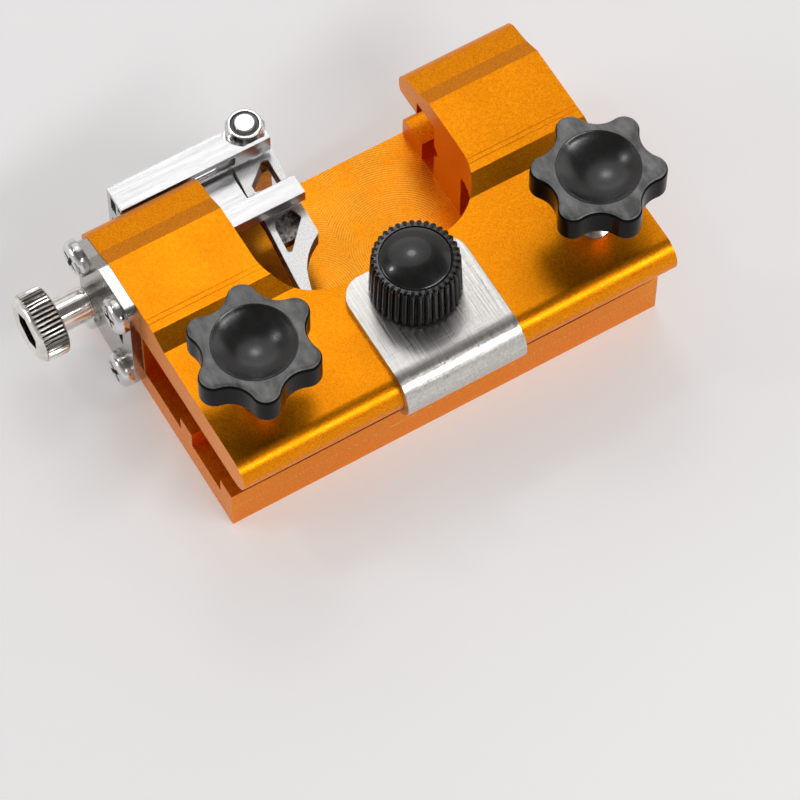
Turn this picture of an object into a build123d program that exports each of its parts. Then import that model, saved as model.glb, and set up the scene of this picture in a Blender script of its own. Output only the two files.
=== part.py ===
from build123d import *
import math
import os

# Clamp-on guide for sharpening a saw chain on its bar.
# Frame: origin on the underside of the body, halfway along it and halfway
# between its front and its rear; +X along the body, +Y to the rear, +Z up.
# Millimetres.

# ---- running clearances ----
RUNNING = 0.05
FACE_GAP = 0.05
SLIDING = 0.3

# ---- body: one extrusion with an upper jaw, a bar slot and a rear channel ----
BODY_LENGTH = 86.0
LOWER_JAW = 6.0
SLOT_HEIGHT = 12.5
JAW_THICKNESS = 7.6
JAW_FLAT = 23.65
STEP_HEIGHT = 1.4
STEP_RUN = 3.7
TOP_FLAT = 15.8
FACET_RUN = 3.6
FACET_DROP = 1.7
BAND_RUN = 4.3
BAND_DROP = 0.8
NOSE_BULGE = 2.45
TOP_LINE_WIDTH = 0.16
TOP_LINE_DEPTH = 0.08
TOP_LINE_OFFSETS = (1.7, 2.7)
SPINE_SETBACK = 4.7
SPINE_THICKNESS = 9.2
NOTCH_DEPTH = 1.6
NOTCH_BELOW_CEILING = 7.7
NOTCH_HALF_MOUTH = 1.9
CHANNEL_WIDTH = 6.1
CEILING_BELOW_TOP = 5.3
HOOK_BELOW_TOP = 9.0
HOOK_TOE_INSET = 0.55
RAIL_GAP = 4.1
RAIL_WIDTH = 6.8
RAIL_HEIGHT = 5.0
RAIL_RADIUS = 1.4
LOWER_SETBACK = 5.15
SEAT_RIB_HEIGHT = 3.9
SEAT_RIB_WIDTH = 4.0
SEAT_RIB_PITCH = 14.0

# ---- grinding pocket, milled from above and open to the rear ----
POCKET_WIDTH = 41.8
POCKET_LEAD = 3.7
POCKET_CORNER = 12.0
POCKET_OVERCUT = 0.3

# ---- clamp screws with star knobs ----
CLAMP_INSET = 9.45
CLAMP_SETBACK = 8.45
CLAMP_RADIUS = 3.0
BAR_THICKNESS = 4.6
FOOT_RADIUS = 4.9
FOOT_HEIGHT = 2.6
FOOT_CHAMFER = 0.5
FOOT_RECESS_GAP = 0.6
FOOT_RECESS_DEPTH = 2.6
DOG_RADIUS = 2.0
DOG_LENGTH = 1.5
HUB_RADIUS = 6.3
HUB_HEIGHT = 4.2
HUB_ABOVE_JAW = 7.9
STAR_HEIGHT = 6.6
STAR_LOBES = 6
STAR_LOBE_CENTRE_RADIUS = 9.1
STAR_LOBE_RADIUS = 2.65
STAR_VALLEY_FLOOR_RADIUS = 9.0
STAR_EDGE_RADIUS = 0.9
STAR_BOWL_RADIUS = 7.25
STAR_BOWL_DEPTH = 2.6
STAR_ANGLES = {"left": 13.0, "right": 30.0}
STUD_DEPTH = 3.0

# ---- spring clip and centre knob ----
CLIP_WIDTH = 23.6
CLIP_THICKNESS = 1.5
CLIP_GAP = 0.05
CLIP_TOP_INSET = 0.6
CLIP_LEAF_INSET = 1.6
CLIP_CORNER = 4.5
CENTRE_SETBACK = 12.45
CENTRE_RADIUS = 2.5
CENTRE_HOLE_GAP = 0.2
PAD_RADIUS = 3.2
PAD_HEIGHT = 1.6
PAD_RECESS_GAP = 0.4
PAD_RECESS_DEPTH = 4.2
PAD_DOG_RADIUS = 1.5
PAD_DOG_LENGTH = 0.9
KNURL_BASE_RADIUS = 7.5
KNURL_TOP_RADIUS = 7.1
KNURL_HEIGHT = 9.5
KNURL_RIDGES = 36
KNURL_RIDGE_RADIUS = 0.5
CAP_RADIUS = 6.2
CAP_RISE = 1.7
CAP_SEAT = 1.0

# ---- end bracket and its four screws ----
BRACKET_THICKNESS = 2.0
BRACKET_INSET = 0.25
SPINE_SCREW_SETBACK = 3.7
SPINE_SCREW_BELOW_TOP = 4.2
FOOT_SCREW_HEIGHT = 4.7
NOSE_SCREW_INSET = 3.45
NOSE_SCREW_BELOW_TOP = 5.9
RAIL_SCREW_SETBACK = 2.7
RAIL_SCREW_HEIGHT = 6.4
EYE_RADIUS = 3.7
SCREW_RADIUS = 1.75
SCREW_LENGTH = 8.8
SCREW_HEAD_RADIUS = 3.5
SCREW_HEAD_HEIGHT = 2.2
SCREW_HEAD_DOME = 1.3
CROSS_WIDTH = 0.9
CROSS_LENGTH = 4.0
CROSS_DEPTH = 1.3
CROSS_ANGLES = (20.0, 65.0, 40.0, 10.0)
WINDOW_WIDTH = 4.1
WINDOW_BELOW_SCREW = 5.0
WINDOW_ABOVE_SCREW = 3.5
WINDOW_RADIUS = 0.5

# ---- adjusting screw, along X ----
LEAD_SETBACK = 3.7
LEAD_BELOW_WEB = 2.6
LEAD_RADIUS = 2.0
BUSH_WALL = 0.85
BUSH_STANDOUT = 1.9
SHANK_RADIUS = 3.15
SHANK_LENGTH = 6.4
HEAD_RADIUS = 6.4
HEAD_THICKNESS = 5.6
HEAD_CHAMFER = 0.6
HEAD_KNURLS = 44
HEAD_KNURL_DEPTH = 0.35
SOCKET_ACROSS_FLATS = 6.5
SOCKET_DEPTH = 3.4
RING_RADIUS = 3.4
RING_THICKNESS = 0.7
RING_MOUTH = 2.4
RING_PLAY = 0.1
GROOVE_DEPTH = 0.4

# ---- carriage ----
CARRIAGE_INSET = 8.1
CARRIAGE_LENGTH = 29.8
CARRIAGE_TRAVEL = 4.9
BLOCK_LENGTH = 13.4
BLOCK_DEPTH = 9.3
BLOCK_ABOVE_RAIL = 1.2
WEB_SETBACK = 8.3
WEB_THICKNESS = 3.0
WEB_BELOW_HOOK = 0.6
FRONT_BAR_WIDTH = 4.0
FRONT_BAR_HEIGHT = 2.6
RISER_WIDTH = 1.8
BACK_GAP = 0.35
BACK_DEPTH = 5.3
BACK_ABOVE_WEB = 4.9
BACK_BELOW_WEB = 7.7
BACK_SKIN = 1.0
BACK_WALL = 1.2
BACK_FLOOR = 2.1
APRON_THICKNESS = 1.0
APRON_DROP = 5.0
GROOVE_BACK_WALL = 0.8
LIP_ABOVE_WEB = 0.9
LIP_THICKNESS = 0.8
STRIP_THICKNESS = 0.7
ROD_RADIUS = 0.7
ROD_LENGTH = 19.4

# ---- pawl: an arm with two windows; points are (X, Y) from its pivot ----
PIVOT_END_INSET = 2.6
PIVOT_REAR_INSET = 0.8
PIVOT_CLEAR = 4.5
LUG_RADIUS = 4.5
PAWL_BELOW_WEB = 0.15
PAWL_THICKNESS = 3.4
PAWL_EYE_RADIUS = 4.0
PAWL_ELBOW_RADIUS = 1.0
PAWL_WAIST_RADIUS = 12.0
PAWL_NOTCH_FRONT = -16.2
PAWL_NOTCH_REAR = -10.5
PAWL_NOTCH_DEPTH = 1.1
PAWL_RECESS_DEPTH = 1.5
PAWL_WINDOW_RADIUS = 0.3
PAWL_RECESS_RADIUS = 0.5
PAWL_ELBOW = (1.75, -23.0)
PAWL_WAIST = (-3.05, -25.7)
PAWL_RIM = (
    (-4.05, -1.0),
    (-4.9, -5.45),
    (-5.4, -9.9),
    (-5.35, -16.5),
    (-6.7, -30.0),
    (-6.8, -32.3),
    (-5.2, -32.6),
    PAWL_WAIST,
    PAWL_ELBOW,
    (2.0, -16.9),
    (2.6, -9.8),
    (3.5, -2.5),
)
PAWL_WINDOW = ((1.4, -5.6), (1.2, -10.9), (-3.8, -10.3), (-3.7, -8.8), (0.2, -5.3))
PAWL_RECESS = ((-4.4, -18.4), (-3.4, -16.6), (0.0, -16.4), (0.65, -18.7), (-5.05, -24.9))
PAWL_HOLE = ((-4.3, -21.1), (-2.0, -21.2), (-3.6, -22.9), (-4.4, -22.6))

# ---- pivot bolt, bush, washer, locking nut and spring ----
BOLT_RADIUS = 2.0
BOLT_HEAD_FLATS = 7.0
BOLT_HEAD_HEIGHT = 2.8
BOLT_PROUD = 0.4
PIVOT_BUSH_WALL = 0.7
WASHER_RADIUS = 4.0
WASHER_THICKNESS = 0.5
NUT_FLATS = 7.0
NUT_HEX_HEIGHT = 2.9
NUT_COLLAR_HEIGHT = 2.1
NUT_COLLAR_RADIUS = 3.15
NUT_COLLAR_EDGE = 0.3
NUT_MOUTH_GAP = 0.55
INSERT_DEPTH = 0.5
INSERT_HEIGHT = 1.3
SPRING_WIRE_RADIUS = 0.4
SPRING_GAP = 0.25
SPRING_LEG = 5.5

# ---- levels and places worked out from the dimensions above ----
SLOT_FLOOR = LOWER_JAW
SLOT_TOP = SLOT_FLOOR + SLOT_HEIGHT
JAW_TOP = SLOT_TOP + JAW_THICKNESS
TOP = JAW_TOP + STEP_HEIGHT
LEFT_END = -BODY_LENGTH / 2
BULLNOSE = JAW_THICKNESS / 2
BODY_DEPTH = BULLNOSE + JAW_FLAT + STEP_RUN + TOP_FLAT + FACET_RUN + BAND_RUN + NOSE_BULGE
BODY_FRONT = -BODY_DEPTH / 2
BODY_REAR = BODY_DEPTH / 2
JAW_ROUND_Y = BODY_FRONT + BULLNOSE
STEP_FOOT_Y = JAW_ROUND_Y + JAW_FLAT
STEP_EDGE_Y = STEP_FOOT_Y + STEP_RUN
FACET_Y = STEP_EDGE_Y + TOP_FLAT
BAND_Y = FACET_Y + FACET_RUN
NOSE_Y = BAND_Y + BAND_RUN
BAND_Z = TOP - FACET_DROP
NOSE_Z = BAND_Z - BAND_DROP
SPINE_FRONT = STEP_EDGE_Y + SPINE_SETBACK
SPINE_REAR = SPINE_FRONT + SPINE_THICKNESS
CEILING = TOP - CEILING_BELOW_TOP
HOOK_BOTTOM = TOP - HOOK_BELOW_TOP
HOOK_INNER = SPINE_REAR + CHANNEL_WIDTH
HOOK_TOE = BODY_REAR - HOOK_TOE_INSET
NOTCH_Z = CEILING - NOTCH_BELOW_CEILING
RAIL_FRONT = SPINE_REAR + RAIL_GAP
RAIL_REAR = RAIL_FRONT + RAIL_WIDTH
RAIL_TOP = SLOT_FLOOR + RAIL_HEIGHT
LOWER_FRONT = BODY_FRONT + LOWER_SETBACK
POCKET_FLOOR = SLOT_FLOOR - POCKET_OVERCUT
POCKET_FRONT = STEP_FOOT_Y - POCKET_LEAD
CLAMP_X = BODY_LENGTH / 2 - CLAMP_INSET
CLAMP_Y = JAW_ROUND_Y + CLAMP_SETBACK
BAR_SEAT = SLOT_FLOOR + SEAT_RIB_HEIGHT
FOOT_BOTTOM = BAR_SEAT + BAR_THICKNESS
FOOT_TOP = FOOT_BOTTOM + FOOT_HEIGHT
STAR_BOTTOM = JAW_TOP + HUB_ABOVE_JAW + HUB_HEIGHT
STAR_TOP = STAR_BOTTOM + STAR_HEIGHT
CENTRE_Y = JAW_ROUND_Y + CENTRE_SETBACK
CLIP_TOP_REAR = POCKET_FRONT - CLIP_TOP_INSET
CLIP_LEAF_REAR = POCKET_FRONT - CLIP_LEAF_INSET
CLIP_TOP = JAW_TOP + CLIP_GAP + CLIP_THICKNESS
PAD_BOTTOM = SLOT_TOP - CLIP_GAP + FACE_GAP
PAD_TOP = PAD_BOTTOM + PAD_HEIGHT
KNURL_BOTTOM = CLIP_TOP + SLIDING
KNURL_TOP = KNURL_BOTTOM + KNURL_HEIGHT
WEB_TOP = HOOK_BOTTOM - WEB_BELOW_HOOK
WEB_BOTTOM = WEB_TOP - WEB_THICKNESS
LEAD_Y = SPINE_REAR + LEAD_SETBACK
LEAD_Z = WEB_TOP - LEAD_BELOW_WEB
BUSH_RADIUS = LEAD_RADIUS + RUNNING + BUSH_WALL
BRACKET_FACE = LEFT_END - BRACKET_THICKNESS
BUSH_END = BRACKET_FACE - BUSH_STANDOUT
SHANK_END = BUSH_END - FACE_GAP
HEAD_INNER = SHANK_END - SHANK_LENGTH
HEAD_OUTER = HEAD_INNER - HEAD_THICKNESS
RING_START = LEFT_END + RING_PLAY
GROOVE_RADIUS = LEAD_RADIUS - GROOVE_DEPTH
NOSE_SCREW = (BODY_REAR - NOSE_SCREW_INSET, TOP - NOSE_SCREW_BELOW_TOP)
SPINE_SCREW = (SPINE_FRONT + SPINE_SCREW_SETBACK, TOP - SPINE_SCREW_BELOW_TOP)
FOOT_SCREW = (SPINE_FRONT + SPINE_SCREW_SETBACK, FOOT_SCREW_HEIGHT)
RAIL_SCREW = (RAIL_FRONT + RAIL_SCREW_SETBACK, RAIL_SCREW_HEIGHT)
SCREW_PLACES = (NOSE_SCREW, SPINE_SCREW, FOOT_SCREW, RAIL_SCREW)
CARRIAGE_LEFT = LEFT_END + CARRIAGE_INSET
CARRIAGE_RIGHT = CARRIAGE_LEFT + CARRIAGE_LENGTH
BLOCK_RIGHT = CARRIAGE_LEFT + BLOCK_LENGTH
WEB_RIGHT = CARRIAGE_RIGHT - WEB_SETBACK
LEAD_END = BLOCK_RIGHT - CARRIAGE_TRAVEL - SLIDING
FRONT_BAR_FRONT = SPINE_REAR + SLIDING
FRONT_BAR_REAR = FRONT_BAR_FRONT + FRONT_BAR_WIDTH
FRONT_BAR_TOP = CEILING - SLIDING
FRONT_BAR_BOTTOM = FRONT_BAR_TOP - FRONT_BAR_HEIGHT
RISER_FRONT = FRONT_BAR_REAR - RISER_WIDTH
BLOCK_REAR = FRONT_BAR_FRONT + BLOCK_DEPTH
BLOCK_BOTTOM = RAIL_TOP + BLOCK_ABOVE_RAIL
BACK_FRONT = BODY_REAR + BACK_GAP
BACK_REAR = BACK_FRONT + BACK_DEPTH
BACK_TOP = WEB_TOP + BACK_ABOVE_WEB
BACK_BOTTOM = WEB_TOP - BACK_BELOW_WEB
LUG_TOP = BACK_BOTTOM + BACK_FLOOR
ROD_Y = BACK_FRONT + ROD_RADIUS
GROOVE_BACK = ROD_Y + ROD_RADIUS
LIP_BOTTOM = WEB_TOP + LIP_ABOVE_WEB
LIP_TOP = LIP_BOTTOM + LIP_THICKNESS
STRIP_REAR = BACK_FRONT + STRIP_THICKNESS
APRON_REAR = BACK_FRONT + APRON_THICKNESS
APRON_BOTTOM = BACK_BOTTOM - APRON_DROP
PIVOT_X = CARRIAGE_RIGHT - PIVOT_END_INSET
PIVOT_Y = BACK_REAR - PIVOT_REAR_INSET
PAWL_TOP = WEB_TOP - PAWL_BELOW_WEB
PAWL_BOTTOM = PAWL_TOP - PAWL_THICKNESS
PIVOT_BUSH_RADIUS = BOLT_RADIUS + PIVOT_BUSH_WALL
BUSH_TOP = PAWL_TOP + FACE_GAP
WASHER_TOP = BUSH_TOP + WASHER_THICKNESS
NUT_HEX_TOP = WASHER_TOP + NUT_HEX_HEIGHT
NUT_TOP = NUT_HEX_TOP + NUT_COLLAR_HEIGHT
NUT_MOUTH_RADIUS = BOLT_RADIUS + NUT_MOUTH_GAP
SPRING_BEND_RADIUS = PIVOT_BUSH_RADIUS + SPRING_GAP + SPRING_WIRE_RADIUS
SPRING_Z = LUG_TOP + FACE_GAP + SPRING_WIRE_RADIUS

os.makedirs("parts", exist_ok=True)


def save(piece, label):
    """Label a finished piece and write it to its own file."""
    piece.part.label = label
    export_step(piece.part, f"parts/{label}.step")


def body_profile():
    """Closed outline of the extrusion's section: local x is Y, local y is Z."""
    nose_rear = (BODY_REAR, (NOSE_Z + HOOK_BOTTOM) / 2)
    Polyline(
        (JAW_ROUND_Y, JAW_TOP),
        (STEP_FOOT_Y, JAW_TOP),
        (STEP_EDGE_Y, TOP),
        (FACET_Y, TOP),
        (BAND_Y, BAND_Z),
        (NOSE_Y, NOSE_Z),
    )
    ThreePointArc((NOSE_Y, NOSE_Z), nose_rear, (HOOK_TOE, HOOK_BOTTOM))
    Polyline(
        (HOOK_TOE, HOOK_BOTTOM),
        (HOOK_INNER, HOOK_BOTTOM),
        (HOOK_INNER, CEILING),
        (SPINE_REAR, CEILING),
        (SPINE_REAR, NOTCH_Z + NOTCH_HALF_MOUTH),
        (SPINE_REAR - NOTCH_DEPTH, NOTCH_Z),
        (SPINE_REAR, NOTCH_Z - NOTCH_HALF_MOUTH),
        (SPINE_REAR, SLOT_FLOOR),
        (RAIL_FRONT, SLOT_FLOOR),
        (RAIL_FRONT, RAIL_TOP),
        (RAIL_REAR, RAIL_TOP),
        (RAIL_REAR, 0),
        (LOWER_FRONT, 0),
        (LOWER_FRONT, SLOT_FLOOR),
        (SPINE_FRONT, SLOT_FLOOR),
        (SPINE_FRONT, SLOT_TOP),
        (JAW_ROUND_Y, SLOT_TOP),
    )
    ThreePointArc(
        (JAW_ROUND_Y, SLOT_TOP), (BODY_FRONT, SLOT_TOP + BULLNOSE), (JAW_ROUND_Y, JAW_TOP)
    )


# ---- body ----
with BuildPart() as body:
    with BuildSketch(Plane.YZ.offset(LEFT_END)) as section:
        with BuildLine():
            body_profile()
        make_face()
        rail_corner = section.vertices().sort_by_distance((RAIL_REAR, RAIL_TOP))[0]
        fillet(rail_corner, RAIL_RADIUS)
        with Locations((LOWER_FRONT, SLOT_FLOOR), (LOWER_FRONT + SEAT_RIB_PITCH, SLOT_FLOOR)):
            Rectangle(SEAT_RIB_WIDTH, SEAT_RIB_HEIGHT, align=(Align.MIN, Align.MIN))
        with Locations([(STEP_EDGE_Y + offset, TOP) for offset in TOP_LINE_OFFSETS]):
            Rectangle(TOP_LINE_WIDTH, 2 * TOP_LINE_DEPTH, mode=Mode.SUBTRACT)
    extrude(amount=BODY_LENGTH)
    with BuildSketch(Plane.XY.offset(POCKET_FLOOR)) as pocket:
        with Locations((0, POCKET_FRONT)):
            Rectangle(POCKET_WIDTH, BODY_DEPTH, align=(Align.CENTER, Align.MIN))
        fillet(pocket.vertices().group_by(Axis.Y)[0], POCKET_CORNER)
    extrude(amount=TOP, mode=Mode.SUBTRACT)
    for clamp_x in (-CLAMP_X, CLAMP_X):
        with BuildSketch(Plane.XY.offset(SLOT_TOP)):
            with Locations((clamp_x, CLAMP_Y)):
                Circle(CLAMP_RADIUS + RUNNING)
        extrude(amount=JAW_THICKNESS, mode=Mode.SUBTRACT)
        with BuildSketch(Plane.XY.offset(SLOT_TOP)):
            with Locations((clamp_x, CLAMP_Y)):
                Circle(FOOT_RADIUS + FOOT_RECESS_GAP)
        extrude(amount=FOOT_RECESS_DEPTH, mode=Mode.SUBTRACT)
    with BuildSketch(Plane.XY.offset(SLOT_TOP)):
        with Locations((0, CENTRE_Y)):
            Circle(CENTRE_RADIUS + RUNNING)
    extrude(amount=JAW_THICKNESS, mode=Mode.SUBTRACT)
    with BuildSketch(Plane.XY.offset(SLOT_TOP)):
        with Locations((0, CENTRE_Y)):
            Circle(PAD_RADIUS + PAD_RECESS_GAP)
    extrude(amount=PAD_RECESS_DEPTH, mode=Mode.SUBTRACT)
    with BuildSketch(Plane.YZ.offset(LEFT_END)):
        with Locations(*SCREW_PLACES):
            Circle(SCREW_RADIUS + RUNNING)
    extrude(amount=SCREW_LENGTH, mode=Mode.SUBTRACT)
save(body, "body")


# ---- clamp screws, feet and star knobs ----
def polar(radius, degrees):
    """Point at a radius and an angle about the sketch's origin."""
    return (radius * math.cos(math.radians(degrees)), radius * math.sin(math.radians(degrees)))


def between(start, end, share):
    """Point a share of the way from one point to another."""
    return (start[0] + (end[0] - start[0]) * share, start[1] + (end[1] - start[1]) * share)


def star_outline(angle):
    """Round lobes joined by hollow valleys: each arc is tangent to the next."""
    half = 180 / STAR_LOBES
    reach = STAR_LOBE_CENTRE_RADIUS * math.cos(math.radians(half))
    spread = STAR_LOBE_RADIUS - STAR_VALLEY_FLOOR_RADIUS + reach
    squares = STAR_LOBE_CENTRE_RADIUS**2 + STAR_VALLEY_FLOOR_RADIUS**2 - STAR_LOBE_RADIUS**2
    valley = (squares - 2 * reach * STAR_VALLEY_FLOOR_RADIUS) / (2 * spread)
    share = STAR_LOBE_RADIUS / (STAR_LOBE_RADIUS + valley)
    for lobe in range(STAR_LOBES):
        middle = angle + 2 * half * lobe
        centre = polar(STAR_LOBE_CENTRE_RADIUS, middle)
        before = between(centre, polar(STAR_VALLEY_FLOOR_RADIUS + valley, middle - half), share)
        after = between(centre, polar(STAR_VALLEY_FLOOR_RADIUS + valley, middle + half), share)
        following = polar(STAR_LOBE_CENTRE_RADIUS, middle + 2 * half)
        meeting = between(following, polar(STAR_VALLEY_FLOOR_RADIUS + valley, middle + half), share)
        ThreePointArc(before, polar(STAR_LOBE_CENTRE_RADIUS + STAR_LOBE_RADIUS, middle), after)
        ThreePointArc(after, polar(STAR_VALLEY_FLOOR_RADIUS, middle + half), meeting)


def make_star_knob(side, x):
    """Moulded star knob with a polished bowl on top and a hub below."""
    bowl_radius = (STAR_BOWL_RADIUS**2 + STAR_BOWL_DEPTH**2) / (2 * STAR_BOWL_DEPTH)
    bowl_centre = STAR_TOP - STAR_BOWL_DEPTH + bowl_radius
    place = Plane((x, CLAMP_Y, STAR_BOTTOM))
    with BuildPart() as knob:
        with BuildSketch(place):
            with BuildLine():
                star_outline(STAR_ANGLES[side])
            make_face()
        extrude(amount=STAR_HEIGHT)
        rims = knob.edges().filter_by(Plane.XY).group_by(Axis.Z)
        fillet(rims[0] + rims[-1], STAR_EDGE_RADIUS)
        with BuildSketch(place):
            Circle(HUB_RADIUS)
        extrude(amount=-HUB_HEIGHT)
        with Locations((x, CLAMP_Y, bowl_centre)):
            Sphere(bowl_radius, mode=Mode.SUBTRACT)
        with BuildSketch(place.offset(-HUB_HEIGHT)):
            Circle(CLAMP_RADIUS)
        extrude(amount=HUB_HEIGHT + STUD_DEPTH, mode=Mode.SUBTRACT)
    save(knob, f"{side}_clamp_knob")


def make_clamp_screw(side, x):
    """Threaded stud with a plain dog point that turns inside the foot."""
    shoulder = FOOT_TOP + FACE_GAP
    with BuildPart() as screw:
        with BuildSketch(Plane((x, CLAMP_Y, shoulder))):
            Circle(CLAMP_RADIUS)
        extrude(amount=STAR_BOTTOM + STUD_DEPTH - shoulder)
        with BuildSketch(Plane((x, CLAMP_Y, shoulder))):
            Circle(DOG_RADIUS)
        extrude(amount=-DOG_LENGTH)
    save(screw, f"{side}_clamp_screw")


def make_clamp_foot(side, x):
    """Disc that presses on the bar and doesn't turn with the screw."""
    with BuildPart() as foot:
        with BuildSketch(Plane((x, CLAMP_Y, FOOT_BOTTOM))):
            Circle(FOOT_RADIUS)
        extrude(amount=FOOT_HEIGHT)
        chamfer(foot.edges().group_by(Axis.Z)[0], FOOT_CHAMFER)
        with BuildSketch(Plane((x, CLAMP_Y, FOOT_TOP))):
            Circle(DOG_RADIUS + RUNNING)
        extrude(amount=-DOG_LENGTH, mode=Mode.SUBTRACT)
    save(foot, f"{side}_clamp_foot")


for side_name, side_x in (("left", -CLAMP_X), ("right", CLAMP_X)):
    make_star_knob(side_name, side_x)
    make_clamp_screw(side_name, side_x)
    make_clamp_foot(side_name, side_x)


# ---- spring clip round the upper jaw's front edge ----
with BuildPart() as chain_clip:
    clip_inner = BULLNOSE + CLIP_GAP
    clip_outer = clip_inner + CLIP_THICKNESS
    clip_centre_z = SLOT_TOP + BULLNOSE
    with BuildSketch(Plane.YZ.offset(-CLIP_WIDTH / 2)):
        with BuildLine():
            Polyline(
                (JAW_ROUND_Y, clip_centre_z + clip_outer),
                (CLIP_TOP_REAR, clip_centre_z + clip_outer),
                (CLIP_TOP_REAR, clip_centre_z + clip_inner),
                (JAW_ROUND_Y, clip_centre_z + clip_inner),
            )
            ThreePointArc(
                (JAW_ROUND_Y, clip_centre_z + clip_inner),
                (JAW_ROUND_Y - clip_inner, clip_centre_z),
                (JAW_ROUND_Y, clip_centre_z - clip_inner),
            )
            Polyline(
                (JAW_ROUND_Y, clip_centre_z - clip_inner),
                (CLIP_LEAF_REAR, clip_centre_z - clip_inner),
                (CLIP_LEAF_REAR, clip_centre_z - clip_outer),
                (JAW_ROUND_Y, clip_centre_z - clip_outer),
            )
            ThreePointArc(
                (JAW_ROUND_Y, clip_centre_z - clip_outer),
                (JAW_ROUND_Y - clip_outer, clip_centre_z),
                (JAW_ROUND_Y, clip_centre_z + clip_outer),
            )
        make_face()
    extrude(amount=CLIP_WIDTH)
    fillet(chain_clip.edges().filter_by(Axis.Z).group_by(Axis.Y)[-2:], CLIP_CORNER)
    with BuildSketch(Plane((0, CENTRE_Y, JAW_TOP))):
        Circle(CENTRE_RADIUS + CENTRE_HOLE_GAP)
    extrude(amount=2 * CLIP_THICKNESS, mode=Mode.SUBTRACT)
save(chain_clip, "chain_clip")

# ---- pad under the centre screw ----
with BuildPart() as centre_pad:
    with BuildSketch(Plane((0, CENTRE_Y, PAD_BOTTOM))):
        Circle(PAD_RADIUS)
    extrude(amount=PAD_HEIGHT)
    with BuildSketch(Plane((0, CENTRE_Y, PAD_TOP))):
        Circle(PAD_DOG_RADIUS + RUNNING)
    extrude(amount=-PAD_DOG_LENGTH, mode=Mode.SUBTRACT)
save(centre_pad, "centre_pad")

# ---- centre screw ----
with BuildPart() as centre_screw:
    pad_shoulder = PAD_TOP + FACE_GAP
    with BuildSketch(Plane((0, CENTRE_Y, pad_shoulder))):
        Circle(CENTRE_RADIUS)
    extrude(amount=KNURL_TOP - CAP_SEAT - STUD_DEPTH - pad_shoulder)
    with BuildSketch(Plane((0, CENTRE_Y, pad_shoulder))):
        Circle(PAD_DOG_RADIUS)
    extrude(amount=-PAD_DOG_LENGTH)
save(centre_screw, "centre_screw")

# ---- one ridge of the centre knob, and the knob that repeats it ----
with BuildPart() as ridge:
    with BuildSketch(Plane((KNURL_BASE_RADIUS, CENTRE_Y, KNURL_BOTTOM))):
        Circle(KNURL_RIDGE_RADIUS)
    with BuildSketch(Plane((KNURL_TOP_RADIUS, CENTRE_Y, KNURL_TOP - KNURL_RIDGE_RADIUS))):
        Circle(KNURL_RIDGE_RADIUS)
    loft()
    with Locations((KNURL_TOP_RADIUS, CENTRE_Y, KNURL_TOP - KNURL_RIDGE_RADIUS)):
        Sphere(KNURL_RIDGE_RADIUS)

with BuildPart() as centre_knob:
    with BuildSketch(Plane((0, CENTRE_Y, KNURL_BOTTOM))):
        Circle(KNURL_BASE_RADIUS)
    with BuildSketch(Plane((0, CENTRE_Y, KNURL_TOP))):
        Circle(KNURL_TOP_RADIUS)
    loft()
    for turn in range(KNURL_RIDGES):
        add(ridge.part.rotate(Axis((0, CENTRE_Y, 0), (0, 0, 1)), turn * 360 / KNURL_RIDGES))
    with BuildSketch(Plane((0, CENTRE_Y, KNURL_TOP))):
        Circle(CAP_RADIUS)
    extrude(amount=-CAP_SEAT, mode=Mode.SUBTRACT)
    with BuildSketch(Plane((0, CENTRE_Y, KNURL_BOTTOM))):
        Circle(CENTRE_RADIUS)
    extrude(amount=KNURL_HEIGHT - CAP_SEAT - STUD_DEPTH, mode=Mode.SUBTRACT)
save(centre_knob, "centre_knob")

# ---- domed cap pressed into the centre knob ----
with BuildPart() as centre_knob_cap:
    dome_radius = (CAP_RADIUS**2 + CAP_RISE**2) / (2 * CAP_RISE)
    with BuildSketch(Plane((0, CENTRE_Y, KNURL_TOP - CAP_SEAT))):
        Circle(CAP_RADIUS)
    extrude(amount=CAP_SEAT + CAP_RISE)
    with Locations((0, CENTRE_Y, KNURL_TOP + CAP_RISE - dome_radius)):
        Sphere(dome_radius, mode=Mode.INTERSECT)
save(centre_knob_cap, "centre_knob_cap")

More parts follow.
